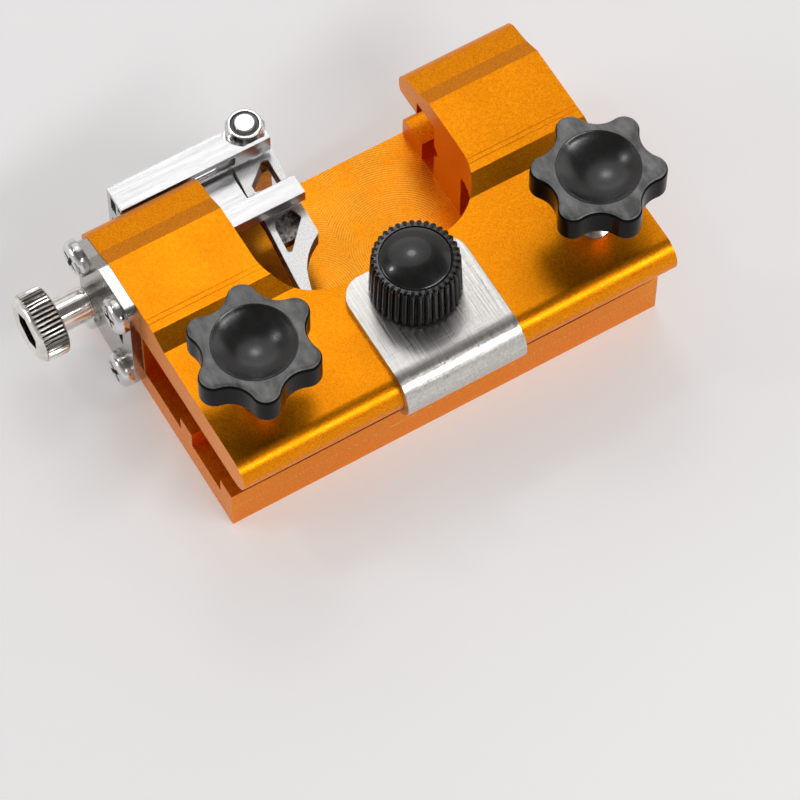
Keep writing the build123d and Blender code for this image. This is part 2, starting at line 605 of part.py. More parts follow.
# ---- end bracket: a cast plate with four screw eyes and a window ----
with BuildPart() as end_bracket:
    with BuildSketch(Plane.YZ.offset(BRACKET_FACE)) as plate:
        with BuildLine():
            Polyline(
                (SPINE_FRONT + BRACKET_INSET, TOP - BRACKET_INSET),
                (FACET_Y, TOP - BRACKET_INSET),
                (BAND_Y, BAND_Z - BRACKET_INSET),
                (NOSE_Y, NOSE_Z - BRACKET_INSET),
                (HOOK_TOE, (NOSE_Z + HOOK_BOTTOM) / 2),
                (NOSE_SCREW[0] + EYE_RADIUS / 2, HOOK_BOTTOM),
                (RAIL_SCREW[0] + EYE_RADIUS, RAIL_SCREW[1]),
                (RAIL_SCREW[0], RAIL_SCREW[1] - EYE_RADIUS),
                (FOOT_SCREW[0], FOOT_SCREW[1] - EYE_RADIUS),
                (SPINE_FRONT + BRACKET_INSET, FOOT_SCREW[1]),
                (SPINE_FRONT + BRACKET_INSET, TOP - BRACKET_INSET),
            )
        make_face()
        fillet(plate.vertices().sort_by_distance((SPINE_FRONT, TOP))[0], EYE_RADIUS / 2)
        with Locations(*SCREW_PLACES[2:]):
            Circle(EYE_RADIUS - BRACKET_INSET)
    extrude(amount=BRACKET_THICKNESS)
    with BuildSketch(Plane.YZ.offset(BRACKET_FACE)) as window:
        with BuildLine():
            Polyline(
                (SPINE_SCREW[0], LEAD_Z - WINDOW_BELOW_SCREW),
                (SPINE_SCREW[0] + WINDOW_WIDTH, LEAD_Z + WINDOW_ABOVE_SCREW),
                (SPINE_SCREW[0], LEAD_Z + WINDOW_ABOVE_SCREW),
                close=True,
            )
        make_face()
        fillet(window.vertices(), WINDOW_RADIUS)
    extrude(amount=BRACKET_THICKNESS, mode=Mode.SUBTRACT)
    with BuildSketch(Plane.YZ.offset(BRACKET_FACE)):
        with Locations(*SCREW_PLACES):
            Circle(SCREW_RADIUS + RUNNING)
        with Locations((LEAD_Y, LEAD_Z)):
            Circle(BUSH_RADIUS)
    extrude(amount=BRACKET_THICKNESS, mode=Mode.SUBTRACT)
save(end_bracket, "end_bracket")

# ---- bracket screws: four alike, with domed cross-recessed heads ----
with BuildPart() as screw_pattern:
    with BuildSketch(Plane.YZ.offset(BRACKET_FACE)):
        Circle(SCREW_RADIUS)
    extrude(amount=SCREW_LENGTH)
    with BuildSketch(Plane.YZ.offset(BRACKET_FACE)):
        Circle(SCREW_HEAD_RADIUS)
    extrude(amount=-SCREW_HEAD_HEIGHT)
    fillet(screw_pattern.edges().group_by(Axis.X)[0], SCREW_HEAD_DOME)
    with BuildSketch(Plane.YZ.offset(BRACKET_FACE - SCREW_HEAD_HEIGHT)):
        Rectangle(CROSS_WIDTH, CROSS_LENGTH)
        Rectangle(CROSS_LENGTH, CROSS_WIDTH)
    extrude(amount=CROSS_DEPTH, mode=Mode.SUBTRACT)

with BuildPart() as bracket_screws:
    for (screw_y, screw_z), turn in zip(SCREW_PLACES, CROSS_ANGLES):
        add(Pos(0, screw_y, screw_z) * screw_pattern.part.rotate(Axis.X, turn))
save(bracket_screws, "bracket_screws")

# ---- plain bush pressed into the bracket ----
with BuildPart() as adjust_screw_bush:
    with BuildSketch(Plane.YZ.offset(BUSH_END)):
        with Locations((LEAD_Y, LEAD_Z)):
            Circle(BUSH_RADIUS)
            Circle(LEAD_RADIUS + RUNNING, mode=Mode.SUBTRACT)
    extrude(amount=BUSH_STANDOUT + BRACKET_THICKNESS)
save(adjust_screw_bush, "adjust_screw_bush")

# ---- adjusting screw with a knurled socket head ----
lead_axis = Axis((0, LEAD_Y, LEAD_Z), (1, 0, 0))
with BuildPart() as adjust_screw:
    with BuildSketch(Plane.YZ.offset(SHANK_END)):
        with Locations((LEAD_Y, LEAD_Z)):
            Circle(LEAD_RADIUS)
    extrude(amount=LEAD_END - SHANK_END)
    with BuildSketch(Plane.YZ.offset(HEAD_INNER)):
        with Locations((LEAD_Y, LEAD_Z)):
            Circle(SHANK_RADIUS)
    extrude(amount=SHANK_LENGTH)
    with BuildSketch(Plane.YZ.offset(HEAD_OUTER)):
        with Locations((LEAD_Y, LEAD_Z)):
            Circle(HEAD_RADIUS)
    extrude(amount=HEAD_THICKNESS)
    head_rims = adjust_screw.edges().filter_by(GeomType.CIRCLE).filter_by(
        lambda edge: abs(edge.radius - HEAD_RADIUS) < RUNNING
    )
    chamfer(head_rims, HEAD_CHAMFER)
    with BuildSketch(Plane.YZ.offset(HEAD_OUTER)):
        with Locations((LEAD_Y, LEAD_Z)):
            with PolarLocations(HEAD_RADIUS, HEAD_KNURLS):
                Circle(HEAD_KNURL_DEPTH)
    extrude(amount=HEAD_THICKNESS, mode=Mode.SUBTRACT)
    with BuildSketch(Plane.YZ.offset(HEAD_OUTER)):
        with Locations((LEAD_Y, LEAD_Z)):
            RegularPolygon(SOCKET_ACROSS_FLATS / 2, 6, major_radius=False)
    extrude(amount=SOCKET_DEPTH, mode=Mode.SUBTRACT)
    with BuildSketch(Plane.YZ.offset(RING_START)):
        with Locations((LEAD_Y, LEAD_Z)):
            Circle(2 * LEAD_RADIUS)
            Circle(GROOVE_RADIUS, mode=Mode.SUBTRACT)
    extrude(amount=RING_THICKNESS, mode=Mode.SUBTRACT)
save(adjust_screw, "adjust_screw")

# ---- open retaining ring in the adjusting screw's groove ----
with BuildPart() as adjust_screw_ring:
    with BuildSketch(Plane.YZ.offset(RING_START)):
        with Locations((LEAD_Y, LEAD_Z)):
            Circle(RING_RADIUS)
            Circle(GROOVE_RADIUS, mode=Mode.SUBTRACT)
            Rectangle(RING_MOUTH, 2 * RING_RADIUS, align=(Align.CENTER, Align.MAX), mode=Mode.SUBTRACT)
    extrude(amount=RING_THICKNESS)
save(adjust_screw_ring, "adjust_screw_ring")


# ---- carriage: an extruded slide, cut back in steps towards the pawl ----
def bar(left, right, front, rear, low, high):
    """Straight bar between two X planes, added to the part being built."""
    with Locations((left, front, low)):
        Box(right - left, rear - front, high - low, align=Align.MIN)


with BuildPart() as carriage:
    bar(CARRIAGE_LEFT, CARRIAGE_RIGHT, FRONT_BAR_FRONT, FRONT_BAR_REAR, FRONT_BAR_BOTTOM, FRONT_BAR_TOP)
    bar(CARRIAGE_LEFT, WEB_RIGHT, RISER_FRONT, FRONT_BAR_REAR, WEB_BOTTOM, FRONT_BAR_BOTTOM)
    bar(CARRIAGE_LEFT, BLOCK_RIGHT, FRONT_BAR_FRONT, BLOCK_REAR, BLOCK_BOTTOM, WEB_TOP)
    bar(CARRIAGE_LEFT, WEB_RIGHT, RISER_FRONT, BACK_REAR, WEB_BOTTOM, WEB_TOP)
    bar(CARRIAGE_LEFT, CARRIAGE_RIGHT, BACK_FRONT, BACK_REAR, BACK_TOP - BACK_SKIN, BACK_TOP)
    bar(CARRIAGE_LEFT, CARRIAGE_RIGHT, GROOVE_BACK, GROOVE_BACK + GROOVE_BACK_WALL, WEB_TOP, BACK_TOP)
    bar(CARRIAGE_LEFT, CARRIAGE_RIGHT, BACK_FRONT, GROOVE_BACK, LIP_BOTTOM, LIP_TOP)
    bar(CARRIAGE_LEFT, WEB_RIGHT, BACK_REAR - BACK_WALL, BACK_REAR, BACK_BOTTOM, BACK_TOP)
    bar(CARRIAGE_LEFT, PIVOT_X, BACK_FRONT, BACK_REAR, BACK_BOTTOM, LUG_TOP)
    bar(CARRIAGE_LEFT, CARRIAGE_RIGHT, BACK_FRONT, APRON_REAR, APRON_BOTTOM, LUG_TOP)
    with BuildSketch(Plane.XY.offset(BACK_BOTTOM)):
        with Locations((PIVOT_X, PIVOT_Y)):
            Circle(LUG_RADIUS)
    extrude(amount=BACK_FLOOR)
    with BuildSketch(Plane.XY.offset(LUG_TOP)):
        with Locations((PIVOT_X, PIVOT_Y)):
            Circle(PIVOT_CLEAR)
        with Locations((PIVOT_X, STRIP_REAR)):
            Rectangle(4 * PIVOT_CLEAR, BACK_FLOOR, align=(Align.CENTER, Align.MAX), mode=Mode.SUBTRACT)
    extrude(amount=TOP, mode=Mode.SUBTRACT)
    bar(PIVOT_X - PIVOT_CLEAR, CARRIAGE_RIGHT, BACK_FRONT, STRIP_REAR, LIP_TOP, BACK_TOP)
    with BuildSketch(Plane.XY.offset(BACK_BOTTOM)):
        with Locations((PIVOT_X, PIVOT_Y)):
            Circle(BOLT_RADIUS)
    extrude(amount=BACK_FLOOR, mode=Mode.SUBTRACT)
    with BuildSketch(Plane.YZ.offset(CARRIAGE_LEFT)):
        with Locations((LEAD_Y, LEAD_Z)):
            Circle(LEAD_RADIUS + RUNNING)
    extrude(amount=BLOCK_LENGTH, mode=Mode.SUBTRACT)
save(carriage, "carriage")

# ---- round-ended rod in the carriage's front groove ----
with BuildPart() as groove_rod:
    rod_z = LIP_TOP + ROD_RADIUS
    with BuildSketch(Plane.YZ.offset(CARRIAGE_LEFT)):
        with Locations((ROD_Y, rod_z)):
            Circle(ROD_RADIUS)
    extrude(amount=ROD_LENGTH - ROD_RADIUS)
    with Locations((CARRIAGE_LEFT + ROD_LENGTH - ROD_RADIUS, ROD_Y, rod_z)):
        Sphere(ROD_RADIUS)
save(groove_rod, "groove_rod")

# ---- pawl ----
with BuildPart() as pawl:
    with BuildSketch(Plane((PIVOT_X, PIVOT_Y, PAWL_BOTTOM))) as arm:
        Polygon(*PAWL_RIM, align=None)
        fillet(arm.vertices().sort_by_distance(PAWL_ELBOW)[0], PAWL_ELBOW_RADIUS)
        fillet(arm.vertices().sort_by_distance(PAWL_WAIST)[0], PAWL_WAIST_RADIUS)
        Circle(PAWL_EYE_RADIUS)
        Circle(PIVOT_BUSH_RADIUS + RUNNING, mode=Mode.SUBTRACT)
    extrude(amount=PAWL_THICKNESS)
    with BuildSketch(Plane((PIVOT_X, PIVOT_Y, PAWL_BOTTOM))) as pawl_window:
        Polygon(*PAWL_WINDOW, align=None)
        fillet(pawl_window.vertices(), PAWL_WINDOW_RADIUS)
        Polygon(*PAWL_HOLE, align=None)
    extrude(amount=PAWL_THICKNESS, mode=Mode.SUBTRACT)
    with BuildSketch(Plane((PIVOT_X, PIVOT_Y, PAWL_TOP))) as pawl_recess:
        Polygon(*PAWL_RECESS, align=None)
        fillet(pawl_recess.vertices(), PAWL_RECESS_RADIUS)
    extrude(amount=-PAWL_RECESS_DEPTH, mode=Mode.SUBTRACT)
    with BuildSketch(Plane.YZ.offset(WEB_RIGHT)):
        with BuildLine():
            Polyline(
                (PIVOT_Y + PAWL_NOTCH_FRONT, PAWL_TOP),
                (PIVOT_Y + PAWL_NOTCH_FRONT + PAWL_NOTCH_DEPTH, PAWL_TOP - PAWL_NOTCH_DEPTH),
                (PIVOT_Y + PAWL_NOTCH_REAR - PAWL_NOTCH_DEPTH, PAWL_TOP - PAWL_NOTCH_DEPTH),
                (PIVOT_Y + PAWL_NOTCH_REAR, PAWL_TOP),
                close=True,
            )
        make_face()
    extrude(amount=CARRIAGE_RIGHT - WEB_RIGHT, mode=Mode.SUBTRACT)
save(pawl, "pawl")

# ---- pivot bolt, bush, washer, spring and locking nut ----
with BuildPart() as pawl_bolt:
    with BuildSketch(Plane((PIVOT_X, PIVOT_Y, BACK_BOTTOM))):
        RegularPolygon(BOLT_HEAD_FLATS / 2, 6, major_radius=False)
    extrude(amount=-BOLT_HEAD_HEIGHT)
    with BuildSketch(Plane((PIVOT_X, PIVOT_Y, BACK_BOTTOM))):
        Circle(BOLT_RADIUS)
    extrude(amount=NUT_TOP + BOLT_PROUD - BACK_BOTTOM)
save(pawl_bolt, "pawl_bolt")

with BuildPart() as pawl_bush:
    with BuildSketch(Plane((PIVOT_X, PIVOT_Y, LUG_TOP))):
        Circle(PIVOT_BUSH_RADIUS)
        Circle(BOLT_RADIUS, mode=Mode.SUBTRACT)
    extrude(amount=BUSH_TOP - LUG_TOP)
save(pawl_bush, "pawl_bush")

with BuildPart() as pawl_washer:
    with BuildSketch(Plane((PIVOT_X, PIVOT_Y, BUSH_TOP))):
        Circle(WASHER_RADIUS)
        Circle(BOLT_RADIUS, mode=Mode.SUBTRACT)
    extrude(amount=WASHER_THICKNESS)
save(pawl_washer, "pawl_washer")

with BuildPart() as pawl_nut:
    with BuildSketch(Plane((PIVOT_X, PIVOT_Y, WASHER_TOP))):
        RegularPolygon(NUT_FLATS / 2, 6, major_radius=False)
    extrude(amount=NUT_HEX_HEIGHT)
    with BuildSketch(Plane((PIVOT_X, PIVOT_Y, NUT_HEX_TOP))):
        Circle(NUT_COLLAR_RADIUS)
    extrude(amount=NUT_COLLAR_HEIGHT)
    fillet(pawl_nut.edges().group_by(Axis.Z)[-1], NUT_COLLAR_EDGE)
    with BuildSketch(Plane((PIVOT_X, PIVOT_Y, WASHER_TOP))):
        Circle(BOLT_RADIUS)
    extrude(amount=NUT_TOP - WASHER_TOP, mode=Mode.SUBTRACT)
    with BuildSketch(Plane((PIVOT_X, PIVOT_Y, NUT_TOP))):
        Circle(NUT_MOUTH_RADIUS)
    extrude(amount=-INSERT_DEPTH - INSERT_HEIGHT, mode=Mode.SUBTRACT)
save(pawl_nut, "pawl_nut")

with BuildPart() as pawl_nut_insert:
    with BuildSketch(Plane((PIVOT_X, PIVOT_Y, NUT_TOP - INSERT_DEPTH))):
        Circle(NUT_MOUTH_RADIUS)
        Circle(BOLT_RADIUS, mode=Mode.SUBTRACT)
    extrude(amount=-INSERT_HEIGHT)
save(pawl_nut_insert, "pawl_nut_insert")

with BuildPart() as pawl_spring:
    left_side = PIVOT_X - SPRING_BEND_RADIUS
    right_side = PIVOT_X + SPRING_BEND_RADIUS
    leg_front = PIVOT_Y - SPRING_LEG
    bend_rear = PIVOT_Y + SPRING_BEND_RADIUS
    with BuildLine(Plane.XY.offset(SPRING_Z)):
        Line((left_side, leg_front), (left_side, PIVOT_Y))
        ThreePointArc((left_side, PIVOT_Y), (PIVOT_X, bend_rear), (right_side, PIVOT_Y))
        Line((right_side, PIVOT_Y), (right_side, leg_front))
    with BuildSketch(Plane((left_side, leg_front, SPRING_Z), z_dir=(0, 1, 0))):
        Circle(SPRING_WIRE_RADIUS)
    sweep()
save(pawl_spring, "pawl_spring")
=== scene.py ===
import math

import bmesh
import bpy
from mathutils import Matrix, Vector


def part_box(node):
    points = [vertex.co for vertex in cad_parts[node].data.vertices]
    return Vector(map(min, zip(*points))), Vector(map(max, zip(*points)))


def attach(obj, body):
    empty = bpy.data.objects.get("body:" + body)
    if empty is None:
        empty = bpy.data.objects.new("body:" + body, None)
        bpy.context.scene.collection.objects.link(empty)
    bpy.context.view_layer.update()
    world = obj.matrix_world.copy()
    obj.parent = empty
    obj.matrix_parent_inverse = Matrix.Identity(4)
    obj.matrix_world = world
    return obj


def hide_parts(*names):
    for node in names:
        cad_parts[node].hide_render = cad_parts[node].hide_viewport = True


# Looks of a clamp-on guide for sharpening a saw chain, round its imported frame.
# Lengths are written in millimetres and turned into metres by MM. Points nearer than WELD are one.
MM = 0.001
WELD = 0.0005

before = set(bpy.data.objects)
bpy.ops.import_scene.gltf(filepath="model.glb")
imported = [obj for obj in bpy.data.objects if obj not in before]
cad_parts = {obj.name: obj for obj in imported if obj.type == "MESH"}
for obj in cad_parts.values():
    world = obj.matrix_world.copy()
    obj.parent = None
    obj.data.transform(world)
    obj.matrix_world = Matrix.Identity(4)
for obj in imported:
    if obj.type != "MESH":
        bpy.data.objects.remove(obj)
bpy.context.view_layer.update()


def box_mm(node):
    """Lowest and highest corner of a CAD node at rest."""
    return [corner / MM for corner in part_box(node)]


def middle_mm(node):
    low, high = box_mm(node)
    return (low + high) / 2


# ---- camera: the photograph's viewing angle ----
CAMERA_PLACE = (-203.56, -348.83, 708.96)
CAMERA_AZIMUTH = -30.8085
CAMERA_ELEVATION = 61.4153
CAMERA_ROLL = 0.3693
CAMERA_LENS = 207.0
CAMERA_SENSOR = 36.0
CAMERA_REACH = 20.0

# ---- pocket: its floor, and the cutter's marks round two centres (x, y, side of their meeting) ----
POCKET_FLOOR = 5.7
POCKET_FLOOR_BAND = 0.2
CUTTER_CENTRES = ((-9.0, 6.0, "LESS_THAN"), (8.9, 7.1, "GREATER_THAN"))
CUTTER_MEETING = -0.5
CUTTER_STEP = 0.46

# ---- anodising: colours of its grain and of the cutter's marks ----
GRAIN_DEEP = (0.77, 0.195, 0.002)
GRAIN_BRIGHT = (1.0, 0.372, 0.008)
MARK_DARK = (0.80, 0.23, 0.003)
MARK_BRIGHT = (1.0, 0.58, 0.09)

# ---- pawl: depths below its top at which the bright face ends and the dark ragged casting starts ----
PAWL_TOP = box_mm("pawl")[1].z
PAWL_FACE_END = 0.3
PAWL_CASTING_START = 0.45
PAWL_CASTING_DARK = (0.09, 0.075, 0.066)
PAWL_CASTING_PALE = (0.46, 0.45, 0.44)

# ---- threads: corners of the profile (share of the pitch, share of the depth) ----
THREAD_PROFILE = ((0.0, 0.0), (0.14, 0.0), (0.50, 1.0), (0.64, 1.0))
THREAD_STEPS = 48
POINT_ROOT = 0.2  # how far a plain point runs up into its thread

# ---- star knobs and their studs ----
STAR_HEIGHT = 6.6
STAR_LOBES = 6
STAR_LOBE_CENTRE = 9.1
STAR_LOBE_RADIUS = 2.65
STAR_LOBE_STEPS = 14
STAR_VALLEY_FLOOR = 9.0
STAR_VALLEY_STEPS = 8
STAR_EDGE = 0.9
STAR_BOWL_RADIUS = 7.25
STAR_BOWL_DEPTH = 2.6
STAR_BOWL_SHARES = (0.97, 0.9, 0.8, 0.68, 0.55, 0.42, 0.3, 0.18, 0.08)
STAR_HUB_RADIUS = 6.3
STAR_HUB_FILLET = 0.3
STAR_HUB_CHAMFER = 0.4
STAR_ANGLES = {"left": 13.0, "right": 30.0}
STAR_LIP = 0.18
STAR_FINISHES = ("gloss", "satin", "bowl")
CLAMP_RADIUS = 3.0
CLAMP_HOLE_GAP = 0.1
CLAMP_PITCH = 1.0
CLAMP_THREAD_DEPTH = 0.55
CLAMP_POINT_RADIUS = 2.0
CLAMP_POINT_LENGTH = 1.5
CLAMP_POINT_EDGE = 0.3

# ---- centre knob, its stud, and its ridges (KNURL_SWELLS: height above the foot, share of the ridge) ----
CENTRE_PLACE = middle_mm("centre_knob").xy
CENTRE_RADIUS = 2.5
CENTRE_PITCH = 0.8
CENTRE_THREAD_DEPTH = 0.45
CENTRE_POINT_RADIUS = 1.5
CENTRE_POINT_LENGTH = 0.9
CENTRE_POINT_EDGE = 0.2
CENTRE_POINT_STEPS = 40
KNURL_BASE_RADIUS = 7.5
KNURL_TOP_RADIUS = 7.1
KNURL_RIDGES = 36
KNURL_RIDGE_HEIGHT = 0.62
KNURL_RIDGE_HALF = 0.39  # half a ridge's width, as a share of the pitch
KNURL_STEPS = 14
KNURL_SWELLS = ((0.0, 0.55), (0.35, 1.0), (3.0, 1.0), (6.0, 1.0), (8.6, 1.0), (9.3, 0.95), (9.5, 0.55))
KNURL_FOOT_EDGE = 0.3
CAP_RADIUS = 6.2
CAP_RISE = 1.7
CAP_WALL = 0.1  # from the straight wall's top to the dome's own rim
CAP_SHARES = (0.985, 0.95, 0.88, 0.78, 0.66, 0.54, 0.42, 0.3, 0.18, 0.08)
CAP_STEPS = 96
CAP_SEAT_DEPTH = 0.25
CAP_SEAT_GAP = 0.05
CAP_SEAT_EDGE = 0.2

# ---- adjusting screw ----
LEAD_Y, LEAD_Z = middle_mm("adjust_screw").yz
LEAD_RADIUS = 2.0
LEAD_PITCH = 0.7
LEAD_THREAD_DEPTH = 0.38
HEAD_OUTER, LEAD_END = (corner.x for corner in box_mm("adjust_screw"))
HEAD_THICKNESS = 5.6
HEAD_RADIUS = 6.4
HEAD_KNURLS = 44
HEAD_KNURL_STEPS = 6
HEAD_KNURL_DEPTH = 0.6
HEAD_KNURL_POWER = 1.4
SOCKET_HALF_FLATS = 3.25
SOCKET_DEPTH = 3.4
SOCKET_DIMPLE = 0.8
SOCKET_CHAMFER = 0.3
SHANK_RADIUS = 3.15
SHANK_GAP = 0.05
SHANK_END = box_mm("adjust_screw_bush")[0].x - SHANK_GAP
RING_START, RING_END = (corner.x for corner in box_mm("adjust_screw_ring"))
RING_GROOVE_RADIUS = 1.6
# painted shade: a dark colour laid into the adjusting screw's knurl valleys and socket, and where it fades
# out
KNURL_PAINTED_SHADE = (0.035, 0.030, 0.026)
KNURL_SHADE_DEPTHS = (0.42, 0.12)  # below the knurl's crest, from full painted shade to none
SHADE_FREE_RIM = 0.9  # how much of the head's outer end has no painted shade
SHADE_FREE_NECK = 0.25  # how much of its inner end has no painted shade

# ---- locking nut on the pawl's pivot ----
NUT_PLACE = middle_mm("pawl_nut").xy
NUT_LOW, NUT_TOP = (corner.z for corner in box_mm("pawl_nut"))
NUT_HEX_TOP = 21.2
NUT_HALF_FLATS = 3.5
NUT_CHAMFER = 0.35
NUT_CHAMFER_SHARES = (0.2, 0.5, 0.8, 1.0)
NUT_BORE_RADIUS = 2.05
NUT_COLLAR_RADIUS = 3.15
NUT_COLLAR_EDGE = 0.22
NUT_MOUTH_RADIUS = 2.55
NUT_MOUTH_DEPTH = 1.8
NUT_STEPS = 144

# ---- CAD solids: angles at which faces count as flat, folded and sharp ----
FLAT_ANGLE = 0.4
FOLD_ANGLE = 12.0
EDGE_ANGLE = 28.0
EDGE_SEGMENTS = 2

# ---- floor: FLOOR_LIFT is what it adds for the eye and for what mirrors it ----
FLOOR_REACH = 3000.0
FLOOR_GAP = 0.02
FLOOR_DARK = (0.78, 0.78, 0.79)
FLOOR_PALE = (0.82, 0.82, 0.82)
FLOOR_LIFT = 0.24

# ---- room: its strengths, and the heights (sine of the elevation) between which they change ----
ROOM_STRENGTH = 0.47
CEILING_STRENGTH = 0.14
CEILING_HEIGHTS = (0.50, 0.64)
BACKDROP_STRENGTH = 0.86  # for the eye and for what mirrors it, low down alone
BACKDROP_HEIGHTS = (0.10, 0.14)
ROOM_WARM = (1.0, 0.92, 0.88)
ROOM_WHITE = (1.0, 1.0, 1.0)

# ---- softboxes: direction from the object, distance, size, radiance, shape ----
AIM_HEIGHT = 15
SOFTBOXES = {
    "rear_key": ((0.17, 0.55, 0.82), 620, (700, 680), 0.58, "ELLIPSE"),
    "key_core": ((0.17, 0.46, 0.87), 600, (130, 120), 4.6, "ELLIPSE"),
    "front_strip": ((0.30, -0.70, 0.65), 620, (520, 80), 10.0, "RECTANGLE"),
    "left_edge": ((-0.87, 0.40, 0.27), 620, (260, 170), 5.0, "RECTANGLE"),
    "left_spot": ((-0.45, 0.39, 0.80), 620, (60, 60), 18.0, "ELLIPSE"),
    "right_fill": ((0.95, -0.1, 0.45), 620, (360, 300), 0.5, "RECTANGLE"),
}


# ---------------------------------------------------------------- materials
def shaded(colour, share=1.0):
    """A colour darkened to a share of itself, with its alpha."""
    return tuple(value * share for value in colour) + (1,)


def grey(level):
    return shaded((level, level, level))


class Nodes:
    """A node tree; its methods add nodes and return their output."""

    def __init__(self, tree, coordinates):
        self.nodes = tree.nodes
        self.links = tree.links
        self.place = self.add("ShaderNodeTexCoord").outputs[coordinates]

    def add(self, kind, inputs=(), **settings):
        node = self.nodes.new(kind)
        for setting, value in settings.items():
            setattr(node, setting, value)
        for key, value in dict(inputs).items():
            if isinstance(value, bpy.types.NodeSocket):
                self.links.new(value, node.inputs[key])
            else:
                node.inputs[key].default_value = value
        return node

    def axes(self):
        return self.add("ShaderNodeSeparateXYZ", {0: self.place}).outputs

    def ranged(self, value, low, high, to_low=0.0, to_high=1.0):
        inputs = {0: value, 1: low, 2: high, 3: to_low, 4: to_high}
        return self.add("ShaderNodeMapRange", inputs).outputs[0]

    def mixed(self, factor, first, second):
        node = self.add("ShaderNodeMix", {0: factor, 6: first, 7: second}, data_type="RGBA")
        return node.outputs[2]

    def maths(self, operation, first, second=0.0):
        return self.add("ShaderNodeMath", {0: first, 1: second}, operation=operation).outputs[0]

    def seen(self):
        """1 for the rays that show the background: to the camera, mirrored or let through."""
        path = self.add("ShaderNodeLightPath").outputs
        mirrored = self.maths("ADD", path["Is Camera Ray"], path["Is Glossy Ray"])
        return self.maths("ADD", mirrored, path["Is Transmission Ray"])


class Finish(Nodes):
    """One procedural material."""

    def __init__(self, name, metallic, **sockets):
        self.material = bpy.data.materials.new(name)
        self.material.use_nodes = True
        super().__init__(self.material.node_tree, "Object")
        self.shader = self.nodes["Principled BSDF"]
        self.shader.inputs["Metallic"].default_value = metallic
        for socket, value in sockets.items():
            self.shader.inputs[socket.replace("_", " ")].default_value = value

    def use(self, socket, value):
        self.links.new(value, self.shader.inputs[socket])

    def done(self, colour, roughness, normal):
        """Feed the shader and give back the material."""
        self.use("Base Color", colour)
        self.use("Roughness", roughness)
        self.use("Normal", normal)
        return self.material

    def noise(self, per_mm, detail=2.0, roughness=0.5):
        """Noise with so many lumps per millimetre on each axis."""
        scale = [value / MM for value in per_mm]
        vector = self.add("ShaderNodeMapping", {"Vector": self.place, "Scale": scale}).outputs[0]
        inputs = {"Vector": vector, "Scale": 1.0, "Detail": detail, "Roughness": roughness}
        return self.add("ShaderNodeTexNoise", inputs).outputs[0]

    def distance(self, first, second, first_mm, second_mm):
        """Distance of two coordinates from a point in their plane."""
        across = self.maths("SUBTRACT", first, first_mm * MM)
        along = self.maths("SUBTRACT", second, second_mm * MM)
        squares = self.maths("ADD", self.maths("POWER", across, 2.0), self.maths("POWER", along, 2.0))
        return self.maths("SQRT", squares)

    def bump(self, height, depth_mm, normal=None):
        inputs = {"Height": height, "Distance": depth_mm * MM, "Strength": 1.0}
        if normal is not None:
            inputs["Normal"] = normal
        return self.add("ShaderNodeBump", inputs).outputs[0]


def cutter_marks(finish):
    """Arcs round the cutter's two centres, -1 to 1, on what lies level with the pocket's floor."""
    axes = finish.axes()
    above = finish.maths("GREATER_THAN", axes[2], (POCKET_FLOOR - POCKET_FLOOR_BAND) * MM)
    below = finish.maths("LESS_THAN", axes[2], (POCKET_FLOOR + POCKET_FLOOR_BAND) * MM)
    marks = 0.0
    for x, y, side in CUTTER_CENTRES:
        radius = finish.distance(axes[0], axes[1], x, y)
        wave = finish.maths("SINE", finish.maths("MULTIPLY", radius, 2 * math.pi / (CUTTER_STEP * MM)))
        half = finish.maths(side, axes[0], CUTTER_MEETING * MM)
        marks = finish.maths("ADD", finish.maths("MULTIPLY", wave, half), marks)
    uneven = finish.ranged(finish.noise((0.22, 0.22, 0.22)), 0.35, 0.62, 0.15, 1.0)
    at_floor = finish.maths("MULTIPLY", above, below)
    return finish.maths("MULTIPLY", finish.maths("MULTIPLY", marks, at_floor), uneven)


def anodised():
    """Orange anodising over a fine blasted grain, with cutter marks level with the pocket's floor."""
    finish = Finish("anodised_orange", 1.0)
    grain = finish.noise((3.4, 3.4, 3.4), detail=3.0, roughness=0.7)
    clouds = finish.noise((0.12, 0.12, 0.12))
    marks = cutter_marks(finish)
    tint = finish.mixed(finish.ranged(grain, 0.36, 0.64), shaded(GRAIN_DEEP), shaded(GRAIN_BRIGHT))
    tint = finish.mixed(finish.ranged(marks, 0.0, 0.8, 0.0, 0.62), tint, shaded(MARK_BRIGHT))
    tint = finish.mixed(finish.ranged(marks, -0.9, -0.1, 0.35, 0.0), tint, shaded(MARK_DARK))
    grainy = finish.ranged(grain, 0.25, 0.75, 0.33, 0.42)
    rough = finish.maths("ADD", grainy, finish.ranged(clouds, 0.3, 0.7, -0.02, 0.03))
    return finish.done(tint, rough, finish.bump(marks, 0.007, finish.bump(grain, 0.007)))


def brushed(name, colour, rough, along, cross, fine, shade, depth_mm):
    """Metal with fine lines along one axis, and fainter ones across it."""
    finish = Finish(name, 1.0)
    lines = {"X": (0.08, fine, fine), "Y": (fine, 0.08, fine)}
    main = finish.noise(lines[along], detail=3.0, roughness=0.6)
    other = finish.noise(lines["Y" if along == "X" else "X"], detail=3.0, roughness=0.6)
    both = finish.maths("ADD", main, finish.maths("MULTIPLY", other, cross))
    tint = finish.mixed(finish.ranged(both, 0.35, 0.65 + cross), shaded(colour, shade), shaded(colour))
    roughness = finish.ranged(both, 0.3, 0.7 + cross, rough * 0.8, rough * 1.25)
    return finish.done(tint, roughness, finish.bump(both, depth_mm))


def cast(name, colour, rough, lump_mm, depth_mm):
    """Plated casting with a pebbled skin."""
    finish = Finish(name, 1.0)
    lumps = finish.noise((1 / lump_mm,) * 3, detail=4.0, roughness=0.65)
    specks = finish.noise((5.0, 5.0, 5.0))
    tint = finish.mixed(finish.ranged(specks, 0.35, 0.6), shaded(colour, 0.72), shaded(colour))
    roughness = finish.ranged(lumps, 0.3, 0.7, rough * 0.75, rough * 1.3)
    return finish.done(tint, roughness, finish.bump(lumps, depth_mm))


